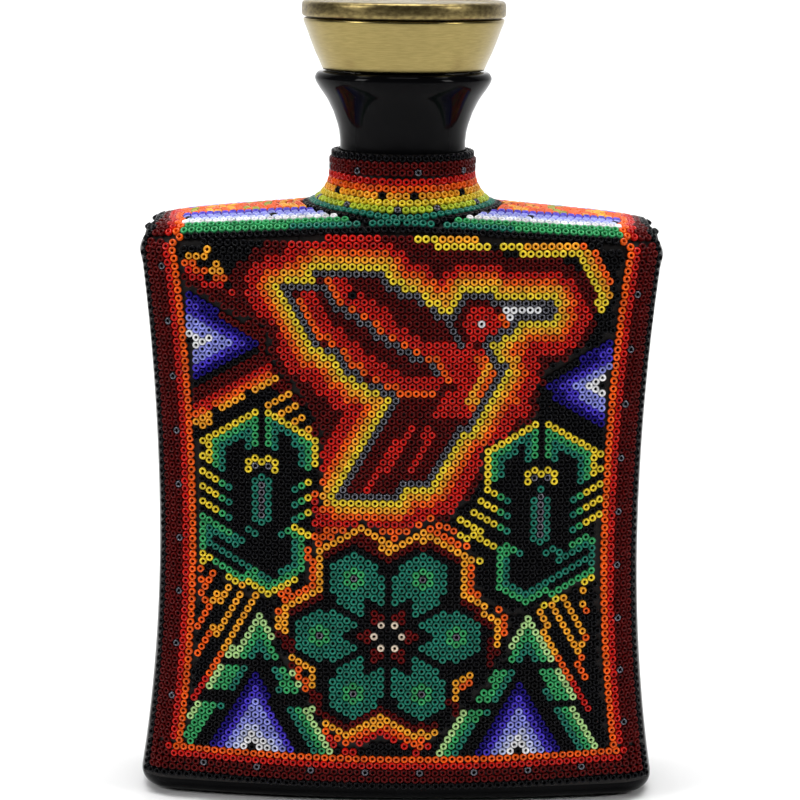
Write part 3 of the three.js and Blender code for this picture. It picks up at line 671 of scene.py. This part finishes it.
def open_gaps(taken):
    """Spare places, row by row, wherever nested fields leave room for a bead where they meet."""
    step = 0.3
    low, high = -66.0, 12.0
    free = np.ones((int((160 - high) / step), int(2 * 66 / step)), bool)
    reach = 1.84
    span = int(reach / step) + 1
    disc = np.array([(i, j) for i in range(-span, span + 1) for j in range(-span, span + 1)
                     if math.hypot(i, j) * step < reach])

    def block(x, z):
        at = disc + (round((z - high) / step), round((x - low) / step))
        at = at[(at >= 0).all(axis=1) & (at[:, 0] < free.shape[0]) & (at[:, 1] < free.shape[1])]
        free[at[:, 0], at[:, 1]] = False

    for x, z in taken:
        block(x, z)
    places = []
    for i in range(free.shape[0]):
        z = high + i * step
        limit = field_limit(z)
        for j in np.nonzero(free[i])[0]:
            x = low + j * step
            above = z > foot_row(0, x) + ROW_GAP
            if free[i, j] and above and abs(x) < limit + 0.3 and z < face_top(x) + OVER_EDGE:
                places.append((x, z))
                block(x, z)
    return places


def unrolled(side):
    """Where the beads already laid stand on a face, with those on the top edge unrolled."""
    found = []
    for p, n, colour, zone in beads.rows:
        if p[1] * side < 0 or zone == "collar":
            continue
        if n[2] < 0.05:
            found.append((p[0], p[2]))
        elif n[2] < 0.9:
            found.append((p[0], face_top(p[0]) + (TOP_EDGE + LIFT) * math.asin(n[2])))
    return found


def zones_of(points, face):
    points = np.asarray(points, float)
    if face == "back":
        near = np.hypot(points[:, 0], points[:, 1] - BACK_FLOWER_AT[1]) < BACK_FLOWER_REACH
        return np.where(near, "back_flower", "back_field")
    x, z = points[:, 0], points[:, 1]
    sides = inside(points, LEFT_COLUMN_ZONE) | inside(points, RIGHT_COLUMN_ZONE)
    flower = inside(points, FLOWER_ZONE)
    zones = np.where(z < MOUNTAINS_TOP, "front_mountains", "front_bird")
    zones = np.where(sides, "front_sides", zones)
    return np.where(flower, "front_flower", zones)


def lay_places(side, face, colours, places, least):
    pictured = [(x, z + PICTURE_FOOT) for x, z in places]
    for (x, z), colour, zone in zip(places, colours(pictured), zones_of(pictured, face)):
        p, n = on_face(side, x, z)
        beads.add(p, n, int(colour), str(zone), least)


def lay_face(side, face, colours, fields):
    for places in fields + [row_field()]:
        lay_places(side, face, colours, places, LOOSE)
    lay_places(side, face, colours, open_gaps(unrolled(side)), CLOSE)


def lay_borders(side, face):
    zone = face + "_border"
    full = quarter(TOP[0], HALF_DEPTH, CORNER)
    for k, colour in enumerate(BORDER_COLOURS):
        d_top = full["face"] + (k * ROW - BORDER_INSET) * CORNER / (CORNER + LIFT)
        last = face_top(d_top) + OVER_EDGE + (1.0 if k < LAST_COLUMN else 0.0)
        rises = np.arange(COLUMN_FOOT + (0.5 * ALONG if k % 2 else 0.0), last, ALONG)
        for count, rise in enumerate(rises):
            for sign in (-1, 1):
                if rise > face_top(d_top):
                    place, n = on_face(side, sign * d_top, rise)
                else:
                    q = layer(rise)
                    px, py, flat = along(q, q["face"] - BORDER_INSET + k * ROW)
                    place, n = mirrored(sign, side, (px, py, rise), (*flat, 0.0))
                accent = k == 2 and (count + (3 if sign > 0 else 0)) % ACCENT_EVERY == 6
                beads.add(place, n, INDEX["steel" if accent else colour], zone, TIGHT)
    for row, low in enumerate(FOOT_ROWS):
        q = layer(low)
        last = q["face"] - BORDER_INSET + LAST_COLUMN * ROW
        count = int(last / ALONG)
        pitch = last / (count + (0.5 if row % 2 else 0.0))
        for i in range(-count - 1, count + 2):
            d = (i + (0.5 if row % 2 else 0.0)) * pitch
            if abs(d) > last + 0.01:
                continue
            column = max(0, round((abs(d) - (last - LAST_COLUMN * ROW)) / ROW))
            name = BORDER_COLOURS[min(max(column, row if row < 4 else LAST_COLUMN), LAST_COLUMN)]
            if row == 2 and column <= 2 and i % ACCENT_EVERY == 3:
                name = "steel"
            sign = 1 if d >= 0 else -1
            z = foot_row(row, min(abs(d), 56.0))
            px, py, n = along(layer(z), abs(d))
            beads.add(*mirrored(sign, side, (px, py, z), (*n, 0.0)), INDEX[name], zone, TIGHT)


# the shoulders: level curves that follow the top edge, from the face over the edge to the ridge

EDGE_SAMPLES, TOP_SAMPLES, OUTLINE_SAMPLES = 14, 40, 260
SHOULDER_START = 4.1  # how far round the top edge the shoulders' first row lies


def shoulder_grid():
    """Bead middles over one half of the shoulders: [step up and over][place along the outline]."""
    grid = np.zeros((EDGE_SAMPLES + TOP_SAMPLES, OUTLINE_SAMPLES, 3))
    shares = np.linspace(-1, 1, OUTLINE_SAMPLES)
    full = quarter(TOP[0], HALF_DEPTH, CORNER)
    turn_span = math.radians(82) - full["turn"]
    length = full["face"] + CORNER * turn_span
    for j, share in enumerate(shares):
        d = abs(share) * length
        sign = 1 if share >= 0 else -1
        for i in range(EDGE_SAMPLES):
            angle = (i / (EDGE_SAMPLES - 1)) * math.pi / 2
            back = TOP_EDGE * (1 - math.cos(angle))
            q = quarter(TOP[0] - back, HALF_DEPTH - back, CORNER - back)
            if d <= full["face"]:
                at = d / full["face"] * q["face"]
            else:
                at = q["face"] + (d - full["face"]) / CORNER * q["corner"]
            x, y, _ = along(q, at)
            grid[i, j] = (sign * x, -y, shoulder_height(x, y) - TOP_EDGE * (1 - math.sin(angle)))
        x, y = abs(grid[EDGE_SAMPLES - 1, j, 0]), -grid[EDGE_SAMPLES - 1, j, 1]
        for i in range(TOP_SAMPLES):
            y_now = y * (1 - (i + 1) / TOP_SAMPLES)
            grid[EDGE_SAMPLES + i, j] = (sign * x, -y_now, shoulder_height(x, y_now))
    up = np.gradient(grid, axis=0)
    across = np.gradient(grid, axis=1)
    normal = np.cross(across, up)
    normal /= np.linalg.norm(normal, axis=2, keepdims=True)
    if normal[:, :, 2].mean() < 0:
        normal *= -1
    return grid + LIFT * normal, normal


def shoulder_colour(w, x, column, row, place):
    """Colour from the distance up and over, and from how far out it lies."""
    if abs(x) > 58.2 or column >= 0:
        if w > 9:
            return BORDER_COLOURS[[0, 1, 2, 3, 5][sum(abs(x) > b for b in (60.1, 61.9, 63.7, 65.3))]]
        return BORDER_COLOURS[min(max(column, 0), LAST_COLUMN)]
    if w < 5.2:
        return "black"
    if w < 8.9:
        return "teal" if w < 7 and abs(x) < 30 else "green"
    if w < 10.7:
        return "white"
    if w < 12.5:
        return "pale_lavender"
    if w < 16.2:
        return "black" if place % 11 == 5 and row % 2 else "lavender"
    if w < 19.8:
        return "blue"
    patch = math.sin(x * 0.31 + 1.0) + 0.6 * math.sin(x * 0.83 + row)
    return "olive" if patch > 1.05 else ("amber" if patch < -0.7 else "orange")


def lay_shoulders(side, middle, normal):
    steps = np.linalg.norm(np.diff(middle, axis=0), axis=2)
    climb = np.vstack([np.zeros(OUTLINE_SAMPLES), np.cumsum(steps, axis=0)])
    row = 0
    w = SHOULDER_START
    while w < climb.max():
        curve = []
        for j in range(OUTLINE_SAMPLES):
            if climb[-1, j] < w:
                curve.append(None)
                continue
            at = [np.interp(w, climb[:, j], middle[:, j, c]) for c in range(3)]
            up = [np.interp(w, climb[:, j], normal[:, j, c]) for c in range(3)]
            curve.append((np.array(at), np.array(up)))
        start = OUTLINE_SAMPLES // 2
        for direction in (1, -1):
            travelled, last = 0.0, None
            target = 0.5 * ALONG if row % 2 else (0.0 if direction > 0 else ALONG)
            js = range(start, OUTLINE_SAMPLES) if direction > 0 else range(start - 1, -1, -1)
            place = 0
            for j in js:
                if curve[j] is None:
                    last = None
                    continue
                at, up = curve[j]
                if last is None:
                    last = at
                gap = np.linalg.norm(at - last)
                while travelled + gap >= target:
                    share = (target - travelled) / gap if gap > 0 else 0
                    p = last + (at - last) * share
                    put_shoulder_bead(side, p, up, w, row, place)
                    target += ALONG
                    place += 1
                travelled += gap
                last = at
        w += ROW
        row += 1


END_TURN = 13.4  # radius of the rounded corner at the middle of its beads
FACE_SIDE, SHOULDER_SIDE = 20.9, 8.4  # in the neck's sweep, only beads this far out and this low stay
OUTER_END = 68.3


def put_shoulder_bead(side, p, up, w, row, place):
    x, y, z = p
    if math.hypot(x, y) < FLARE_FOOT - 0.4 and (abs(y) < FACE_SIDE or w > SHOULDER_SIDE):
        return
    if abs(x) > OUTER_END or abs(y) < 0.5:
        return
    q = layer(TOP[1])
    d = 0.0
    if abs(x) > END_FROM:
        bearing = math.atan2(abs(x) - q["centre"][0] + 0.001, max(abs(y) - q["centre"][1], 0.01))
        d = q["face"] + (bearing - q["turn"]) * END_TURN
    column = math.floor((d - (q["face"] - BORDER_INSET)) / ROW + 0.5)
    if column > LAST_COLUMN and (w < 7 or (abs(y) > 17 and z < 156)):
        return
    colour = INDEX[shoulder_colour(w, x, column, row, place)]
    zone = ("left" if x < 0 else "right") + "_shoulder"
    flip = -1 if side > 0 else 1
    beads.add((x, flip * y, z), (up[0], flip * up[1], up[2]), colour, zone, SHOULDER_ROOM)


COLLAR_COLOURS = ["black", "dark_red", "dark_red", "red", "orange", "amber", "yellow", "lime", "teal",
                  "black"]


def collar_bead(r, turn, height):
    """A bead's middle and normal on the neck's foot, at a radius or, on the upright part, at a height."""
    x, y = r * math.sin(turn), -r * math.cos(turn)
    bend = FLARE_RADIUS - LIFT
    if height is not None:
        return (x, y, height), (math.sin(turn), -math.cos(turn), 0.0)
    flat = min(1.0, (FLARE_FOOT - r) / bend)
    steep = math.sqrt(1 - flat * flat)
    past = max(0.0, abs(y) - (HALF_DEPTH - TOP_EDGE))
    edge = TOP_EDGE + LIFT
    drop = edge - math.sqrt(max(0.0, edge * edge - past * past))
    z = shoulder_plane(x, y) + FLARE_RADIUS - bend * steep - drop
    tip = past / edge if y > 0 else -past / edge
    return (x, y, z), (flat * math.sin(turn), -flat * math.cos(turn) + tip, steep)


COLLAR_EDGE = 24.6  # the collar's rings stop this far forward and back


def lay_collar():
    """Rings of beads round the foot of the neck, from the top ring down."""
    bend = FLARE_RADIUS - LIFT
    upright = FLARE_FOOT - bend
    for number, colour in enumerate(COLLAR_COLOURS):
        level_part = number < 3
        angle = math.pi / 2 - (number - 2.6) * COLLAR_ROW / bend
        r = upright if level_part else FLARE_FOOT - bend * math.sin(min(angle, math.pi / 2))
        if number == 0:
            r -= 0.5
        count = round(2 * math.pi * r / ALONG)
        for i in range(count):
            turn = 2 * math.pi * (i + 0.5 * (number % 2)) / count
            height = COLLAR_TOP - number * COLLAR_ROW if level_part else None
            place, n = collar_bead(r, turn, height)
            if abs(place[1]) > COLLAR_EDGE:
                continue
            name = colour
            if (number == 2 and i % 7 == 2) or (number == 7 and i % 7 == 4):
                name = "steel"
            if number == 5 and i % 7 == 1:
                name = "black"
            beads.add(place, n, INDEX[name], "collar", CLOSE)


lay_collar()
for face_side, face_name in ((-1, "front"), (1, "back")):
    lay_borders(face_side, face_name)
grid_middle, grid_normal = shoulder_grid()
for face_side in (-1, 1):
    lay_shoulders(face_side, grid_middle, grid_normal)
lay_face(-1, "front", front_colours, [
    column_field((-36.7, 110.9), COLUMN_PITCH, COLUMN_STEP, LEFT_COLUMN_ZONE),
    column_field((37.9, 108.4), COLUMN_PITCH, COLUMN_STEP, RIGHT_COLUMN_ZONE),
    column_field(FLOWER_AT, FLOWER_PITCH, FLOWER_PITCH * math.cos(math.pi / 6), FLOWER_ZONE),
])
lay_face(1, "back", back_colours, [
    column_field(BACK_FLOWER_AT, FLOWER_PITCH, FLOWER_PITCH * math.cos(math.pi / 6),
                 shifted(FLOWER_ZONE, 2.6, 42.7)),
])


# ---- materials


def mixed(name, tints, scale, detail=3.0, stretch=(1, 1, 1), **values):
    """A material whose colour drifts between tints, with constant surface values."""
    material = bpy.data.materials.new(name)
    material.use_nodes = True
    nodes, links = material.node_tree.nodes, material.node_tree.links
    shader = nodes["Principled BSDF"]
    place = nodes.new("ShaderNodeTexCoord")
    mapping = nodes.new("ShaderNodeMapping")
    mapping.inputs["Scale"].default_value = stretch
    noise = nodes.new("ShaderNodeTexNoise")
    noise.inputs["Scale"].default_value = scale
    noise.inputs["Detail"].default_value = detail
    ramp = nodes.new("ShaderNodeValToRGB")
    ramp.color_ramp.elements[0].position = 0.36
    ramp.color_ramp.elements[1].position = 0.64
    ramp.color_ramp.elements[0].color = (*tints[0], 1)
    ramp.color_ramp.elements[1].color = (*tints[1], 1)
    links.new(place.outputs["Object"], mapping.inputs["Vector"])
    links.new(mapping.outputs["Vector"], noise.inputs["Vector"])
    links.new(noise.outputs["Fac"], ramp.inputs["Fac"])
    links.new(ramp.outputs["Color"], shader.inputs["Base Color"])
    for key, value in values.items():
        shader.inputs[key.replace("_", " ")].default_value = value
    return material


def bead_material(name):
    tint = COLOURS[name][0]
    darker = tuple(v * 0.72 for v in tint)
    lighter = tuple(min(1.0, v * 1.18) for v in tint)
    values = {"Roughness": 0.16, "Specular_IOR_Level": 0.2}
    if name in ("black", "dark_red", "star_red", "navy"):
        values["Specular_IOR_Level"] = 0.09
    if name == "steel":
        values = {"Roughness": 0.24, "Metallic": 0.85, "Coat_Weight": 0.2, "Coat_Roughness": 0.1}
    return mixed(name + " bead", (darker, lighter), 420.0, **values)


# ---- meshes

AROUND, PROFILE = 14, 7


def placed(name, data):
    obj = bpy.data.objects.new(name, data)
    bpy.context.scene.collection.objects.link(obj)
    return obj


def mesh_from(name, vertices, faces, material):
    mesh = bpy.data.meshes.new(name)
    mesh.from_pydata([tuple(v) for v in vertices], [], faces)
    mesh.materials.append(material)
    mesh.polygons.foreach_set("use_smooth", [True] * len(mesh.polygons))
    mesh.update()
    return placed(name, mesh)


def bead_template():
    """One seed bead: a rounded ring, its hole along z. Vertices, quads and the quads' flat layout."""
    tube = (BEAD_OUTER - BEAD_HOLE) / 2
    middle = BEAD_HOLE + tube
    vertices = []
    for i in range(AROUND):
        turn = 2 * math.pi * i / AROUND
        for j in range(PROFILE):
            angle = 2 * math.pi * (j + 0.5) / PROFILE
            c, s = math.cos(angle), math.sin(angle)
            bulge = 1 / (abs(c) ** 2.5 + abs(s) ** 2.5) ** 0.4
            r = middle + tube * c * bulge
            vertices.append((r * math.cos(turn), r * math.sin(turn), 0.5 * BEAD_HEIGHT * s * bulge))
    quads = []
    corners = []
    for i, j in itertools.product(range(AROUND), range(PROFILE)):
        k, m = (i + 1) % AROUND, (j + 1) % PROFILE
        quads.append((i * PROFILE + j, k * PROFILE + j, k * PROFILE + m, i * PROFILE + m))
        corners += [(i, j), (i + 1, j), (i + 1, j + 1), (i, j + 1)]
    return np.array(vertices), np.array(quads), np.array(corners, float) / (AROUND, PROFILE)


def turned(normals):
    """A frame for each bead: its third axis near its normal, spun and tipped a little at random."""
    n = np.array(normals, float)
    n += RNG.normal(0, TIP, n.shape)
    n /= np.linalg.norm(n, axis=1, keepdims=True)
    guide = RNG.normal(0, 1, n.shape)
    a = np.cross(guide, n)
    a /= np.linalg.norm(a, axis=1, keepdims=True)
    return np.stack([a, np.cross(n, a), n], axis=2)


def bead_piece(name, places, normals, material):
    vertices, quads, corners = bead_template()
    count, each = len(places), len(vertices)
    size = RNG.normal(1.0, SPREAD, (count, 1, 1)).clip(0.95, 1.04)
    middle = np.array(places) + RNG.normal(0, JITTER, (count, 3))
    points = (turned(normals)[:, None] @ (vertices[None, :, :, None] * size[..., None]))[..., 0]
    points = (points + middle[:, None]) * MM
    mesh = bpy.data.meshes.new(name)
    mesh.vertices.add(count * each)
    mesh.vertices.foreach_set("co", points.astype(np.float32).ravel())
    loops = (quads[None] + np.arange(count)[:, None, None] * each).ravel()
    mesh.loops.add(len(loops))
    mesh.loops.foreach_set("vertex_index", loops.astype(np.int32))
    mesh.polygons.add(count * len(quads))
    mesh.polygons.foreach_set("loop_start", np.arange(0, len(loops), 4, dtype=np.int32))
    mesh.polygons.foreach_set("use_smooth", np.ones(count * len(quads), bool))
    grid = math.ceil(math.sqrt(count))
    cell = np.stack([np.arange(count) % grid, np.arange(count) // grid], axis=1)
    uv = (cell[:, None] + 0.06 + 0.88 * corners[None]) / grid
    layer_uv = mesh.uv_layers.new(name="OFBake")
    layer_uv.data.foreach_set("uv", uv.astype(np.float32).ravel())
    mesh.materials.append(material)
    mesh.update(calc_edges=True)
    return placed(name, mesh)


FACE_STOPS = 0.62  # the share of an outline's points that lies on the face


def ring_outline(width, depth, corner, steps):
    """A closed plan outline, from +x round to the front and back, in points."""
    q = quarter(width, depth, corner)
    quarter_turn = math.pi / 2 - q["turn"]
    points = []
    for i in range(steps):
        share = i / steps
        if share < FACE_STOPS:
            d = share / FACE_STOPS * q["face"]
        else:
            d = q["face"] + (share - FACE_STOPS) / 0.38 * corner * quarter_turn
        points.append(along(q, d)[:2])
    points = np.array(points)
    end = np.array([along(q, q["face"] + corner * quarter_turn)[:2]])
    first = np.vstack([points, end])
    right_back = first
    right_front = (first * (1, -1))[::-1][1:]
    left_front = (first * (-1, -1))[1:]
    left_back = (first * (-1, 1))[::-1][1:-1]
    return np.vstack([right_back, right_front, left_front, left_back])


def loft(rings):
    """Vertices and quads through rings of equal length, with a fan at either end."""
    count = len(rings[0])
    vertices = [v for ring in rings for v in ring]
    faces = []
    for k in range(len(rings) - 1):
        for i in range(count):
            j = (i + 1) % count
            faces.append((k * count + i, k * count + j, (k + 1) * count + j, (k + 1) * count + i))
    for ring, flip in ((0, True), (len(rings) - 1, False)):
        vertices.append(np.mean(rings[ring], axis=0))
        for i in range(count):
            pair = (ring * count + i, ring * count + (i + 1) % count)
            faces.append((len(vertices) - 1, *(pair[::-1] if flip else pair)))
    return np.array(vertices) * MM, faces


def level(points, z):
    return np.column_stack([points, np.full(len(points), z)])


def flask_rings():
    """Rings from the punt up the outside, over the lip and down the inside to the floor."""
    steps = 34
    rings = [level(ring_outline(FOOT[0] - 11, HALF_DEPTH - 11, 4, steps), 1.2)]
    for k in range(7):
        angle = k / 6 * math.pi / 2
        back = BASE_EDGE * (1 - math.sin(angle))
        z = BASE_EDGE * (1 - math.cos(angle))
        rings.append(level(ring_outline(half_width(z) - back, HALF_DEPTH - back, CORNER - back, steps), z))
    for share in np.linspace(0.05, 1, 26):
        mean = BASE_EDGE + share * (TOP[1] - 6 - BASE_EDGE)
        rings.append(level(ring_outline(half_width(mean), HALF_DEPTH, CORNER, steps), mean))
    for k in range(11):
        angle = k / 10 * math.pi / 2
        back = TOP_EDGE * (1 - math.cos(angle))
        ring = ring_outline(TOP[0] - back, HALF_DEPTH - back, CORNER - back, steps)
        z = [shoulder_height(x, y) - TOP_EDGE * (1 - math.sin(angle)) for x, y in ring]
        rings.append(np.column_stack([ring, z]))
    rim = rings[-1][:, :2]
    aim = rim / np.hypot(*rim.T)[:, None] * 17.7
    for share in 1 - (1 - np.linspace(0, 1, 46)[1:]) ** 1.6:
        ring = rim * (1 - share) + aim * share
        rings.append(np.column_stack([ring, [shoulder_height(x, y) for x, y in ring]]))
    around = aim / 17.7
    bore = [(BORE + 1.6, LIP_Z), (BORE + 0.5, LIP_Z - 0.4), (BORE, LIP_Z - 1.6), (BORE, 164.0), (16.5, 156.0)]
    for r, z in NECK + bore:
        rings.append(level(around * r, z))
    cavity = ((9.0, 150.0), (WALL + 1, 146.0), (WALL, 142.0), (WALL, 16.0), (WALL + 2, 11.5),
              (WALL + 6, 10.0))
    for back, z in cavity:
        corner = max(CORNER - back, 3)
        rings.append(level(ring_outline(half_width(z) - back, HALF_DEPTH - back, corner, steps), z))
    return rings


def revolve(profile, steps=128):
    turns = [2 * math.pi * i / steps for i in range(steps)]
    return [[(r * math.cos(t), r * math.sin(t), z) for t in turns] for r, z in profile]


def rosette(r, turn):
    """A plain relief of petals for the stopper's top."""
    petals = 0.35 * math.cos(8 * turn) * math.exp(-((r - 15) / 5.5) ** 2)
    boss = 0.5 * math.exp(-(r / 4.5) ** 2)
    ring = 0.25 * math.exp(-((r - 22.5) / 0.9) ** 2)
    return petals + boss + ring


black_glass = mixed("black glass", ((0.0015, 0.0015, 0.002), (0.003, 0.003, 0.0035)), 30.0,
                    Roughness=0.08, Specular_IOR_Level=0.045)
wax = mixed("dark beeswax", ((0.004, 0.003, 0.003), (0.009, 0.006, 0.005)), 160.0,
            Roughness=0.55, Specular_IOR_Level=0.25)
brass = mixed("satin brass", ((0.25, 0.195, 0.07), (0.31, 0.245, 0.092)), 320.0, stretch=(1, 1, 14),
              Roughness=0.26, Metallic=1.0)
old_brass = mixed("dulled brass", ((0.13, 0.098, 0.04), (0.27, 0.21, 0.085)), 620.0, stretch=(1, 1, 2),
                  Roughness=0.36, Metallic=1.0)
cork = mixed("cork", ((0.42, 0.24, 0.11), (0.66, 0.46, 0.27)), 330.0, detail=6.0, Roughness=0.8)

flask = mesh_from("flask", *loft(flask_rings()), black_glass)
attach(flask, "bottle")
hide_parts("glass_flask")

CAP = [(BORE, 204.9), (BORE, 197.5), (21.4, 197.3), (21.75, 197.45), (21.9, 197.8), (22.8, 199.9),
       (23.8, 202.0), (24.8, 204.5), (25.7, 207.0), (26.3, 208.6), (26.8, 209.8), (27.0, 210.5),
       (26.95, 210.85), (26.7, 211.05), (9.3, 211.05), (9.3, 209.2), (0.4, 209.1)]
DISC = [(0.4, 209.45), (9.0, 209.5), (9.0, 211.35), (26.5, 211.4), (27.0, 211.55), (27.3, 211.9),
        (27.4, 212.6), (27.4, 214.4), (27.3, 215.0), (27.0, 215.45), (26.5, 215.75), (25.9, 215.6),
        (25.2, 215.25)]
cap = mesh_from("cap", *loft(revolve(CAP)), brass)
DISC_TOP = 215.0  # the level that the relief stands on
disc_rings = revolve(DISC)
for r in np.linspace(24.6, 0.5, 40):
    turns = [2 * math.pi * i / 128 for i in range(128)]
    disc_rings.append([(r * math.cos(t), r * math.sin(t), DISC_TOP + rosette(r, t)) for t in turns])
disc = mesh_from("disc", *loft(disc_rings), old_brass)
for obj, node in ((cap, "stopper_cap"), (disc, "stopper_disc")):
    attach(obj, "stopper")
    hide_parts(node)

for name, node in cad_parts.items():
    finish = cork if name == "stopper_cork" else wax
    node.data.materials.clear()
    node.data.materials.append(finish)

# ---- beads, one piece to a colour in each zone

STANDS_FOR = {
    "front_bird": ["front_hummingbird"],
    "front_sides": ["front_left_triangle", "front_right_triangle", "front_left_sprout", "front_right_sprout"],
    "front_mountains": ["front_left_mountain", "front_right_mountain", "front_ground"],
    "front_flower": ["front_flower"],
    "back_flower": ["back_flower"],
    "back_field": ["back_ground", "back_left_mountain", "back_right_mountain"],
    "collar": ["collar_foot_beads", "neck_black_course", "neck_dark_red_course", "neck_red_course",
               "neck_orange_course", "neck_yellow_course"],
}
for face in ("front", "back"):
    STANDS_FOR[face + "_border"] = [f"{face}_{part}_border" for part in ("left", "right", "bottom")]
for hand in ("left", "right"):
    STANDS_FOR[hand + "_shoulder"] = [hand + "_shoulder_ridge_stripe", hand + "_shoulder_end"] + [
        f"{hand}_shoulder_{face}_{stripe}_stripe"
        for face in ("front", "back") for stripe in ("green", "white", "violet")]

groups = {}
for p, n, colour, zone in beads.rows:
    groups.setdefault((zone, colour), []).append((p, n))
materials = {name: bead_material(name) for name in NAMES}
for (zone, colour), members in sorted(groups.items()):
    name = NAMES[colour]
    shares = math.ceil(len(members) / MOST_BEADS)
    for share in range(shares):
        some = members[share * MOST_BEADS:(share + 1) * MOST_BEADS]
        suffix = f"_{share + 1}" if shares > 1 else ""
        places, normals = zip(*some)
        piece = bead_piece(f"{zone}_{name}_beads{suffix}", places, normals, materials[name])
        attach(piece, "bottle")
        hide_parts(*STANDS_FOR[zone])

# ---- the room, the lights and the camera


def backdrop():
    """A pale floor that sweeps up behind the bottle."""
    profile = [(-1.6, 0.0), (0.9, 0.0)]
    bends = np.linspace(0, math.pi / 2, 17)[1:]
    profile += [(0.9 + 0.5 * math.sin(a), 0.5 - 0.5 * math.cos(a)) for a in bends]
    profile.append((1.4, 2.2))
    vertices = [(x, y, z - 0.0004) for y, z in profile for x in (-3.0, 3.0)]
    faces = [(2 * i, 2 * i + 1, 2 * i + 3, 2 * i + 2) for i in range(len(profile) - 1)]
    pale = mixed("pale floor", ((0.86, 0.86, 0.86), (0.9, 0.9, 0.9)), 2.0, Roughness=0.7)
    return mesh_from("floor", vertices, faces, pale)


backdrop()


def softbox(name, place, aim, size, power):
    light = bpy.data.lights.new(name, "AREA")
    light.shape = "RECTANGLE"
    light.size, light.size_y = size
    light.energy = power
    obj = placed(name, light)
    obj.location = place
    obj.rotation_euler = (Vector(aim) - Vector(place)).to_track_quat("-Z", "Y").to_euler()


CENTRE = (0, 0, 0.11)
softbox("left softbox", (-1.15, -0.7, 0.8), CENTRE, (0.35, 0.6), 8.5)
softbox("right softbox", (1.2, -0.65, 0.75), CENTRE, (0.3, 0.6), 6.5)
softbox("top softbox", (0, -0.3, 1.3), CENTRE, (0.5, 0.3), 3.5)
softbox("wall light", (0, 0.1, 2.0), (0, 1.3, 0.55), (2.4, 0.6), 60)
world = bpy.data.worlds.new("studio")
world.use_nodes = True
world.node_tree.nodes["Background"].inputs["Color"].default_value = (1, 1, 1, 1)
world.node_tree.nodes["Background"].inputs["Strength"].default_value = 0.02
bpy.context.scene.world = world
bpy.context.scene.view_settings.view_transform = "Standard"

lens = bpy.data.cameras.new("camera")
lens.sensor_width = 36.0
lens.lens = 119.8
camera = placed("camera", lens)
camera.location = (0, -0.72, 0.238)
look = (Vector((0, 0, 0.107)) - camera.location).to_track_quat("-Z", "Y")
camera.rotation_euler = (look.to_matrix() @ Matrix.Rotation(math.radians(0.6), 3, "Z")).to_euler()
bpy.context.scene.camera = camera
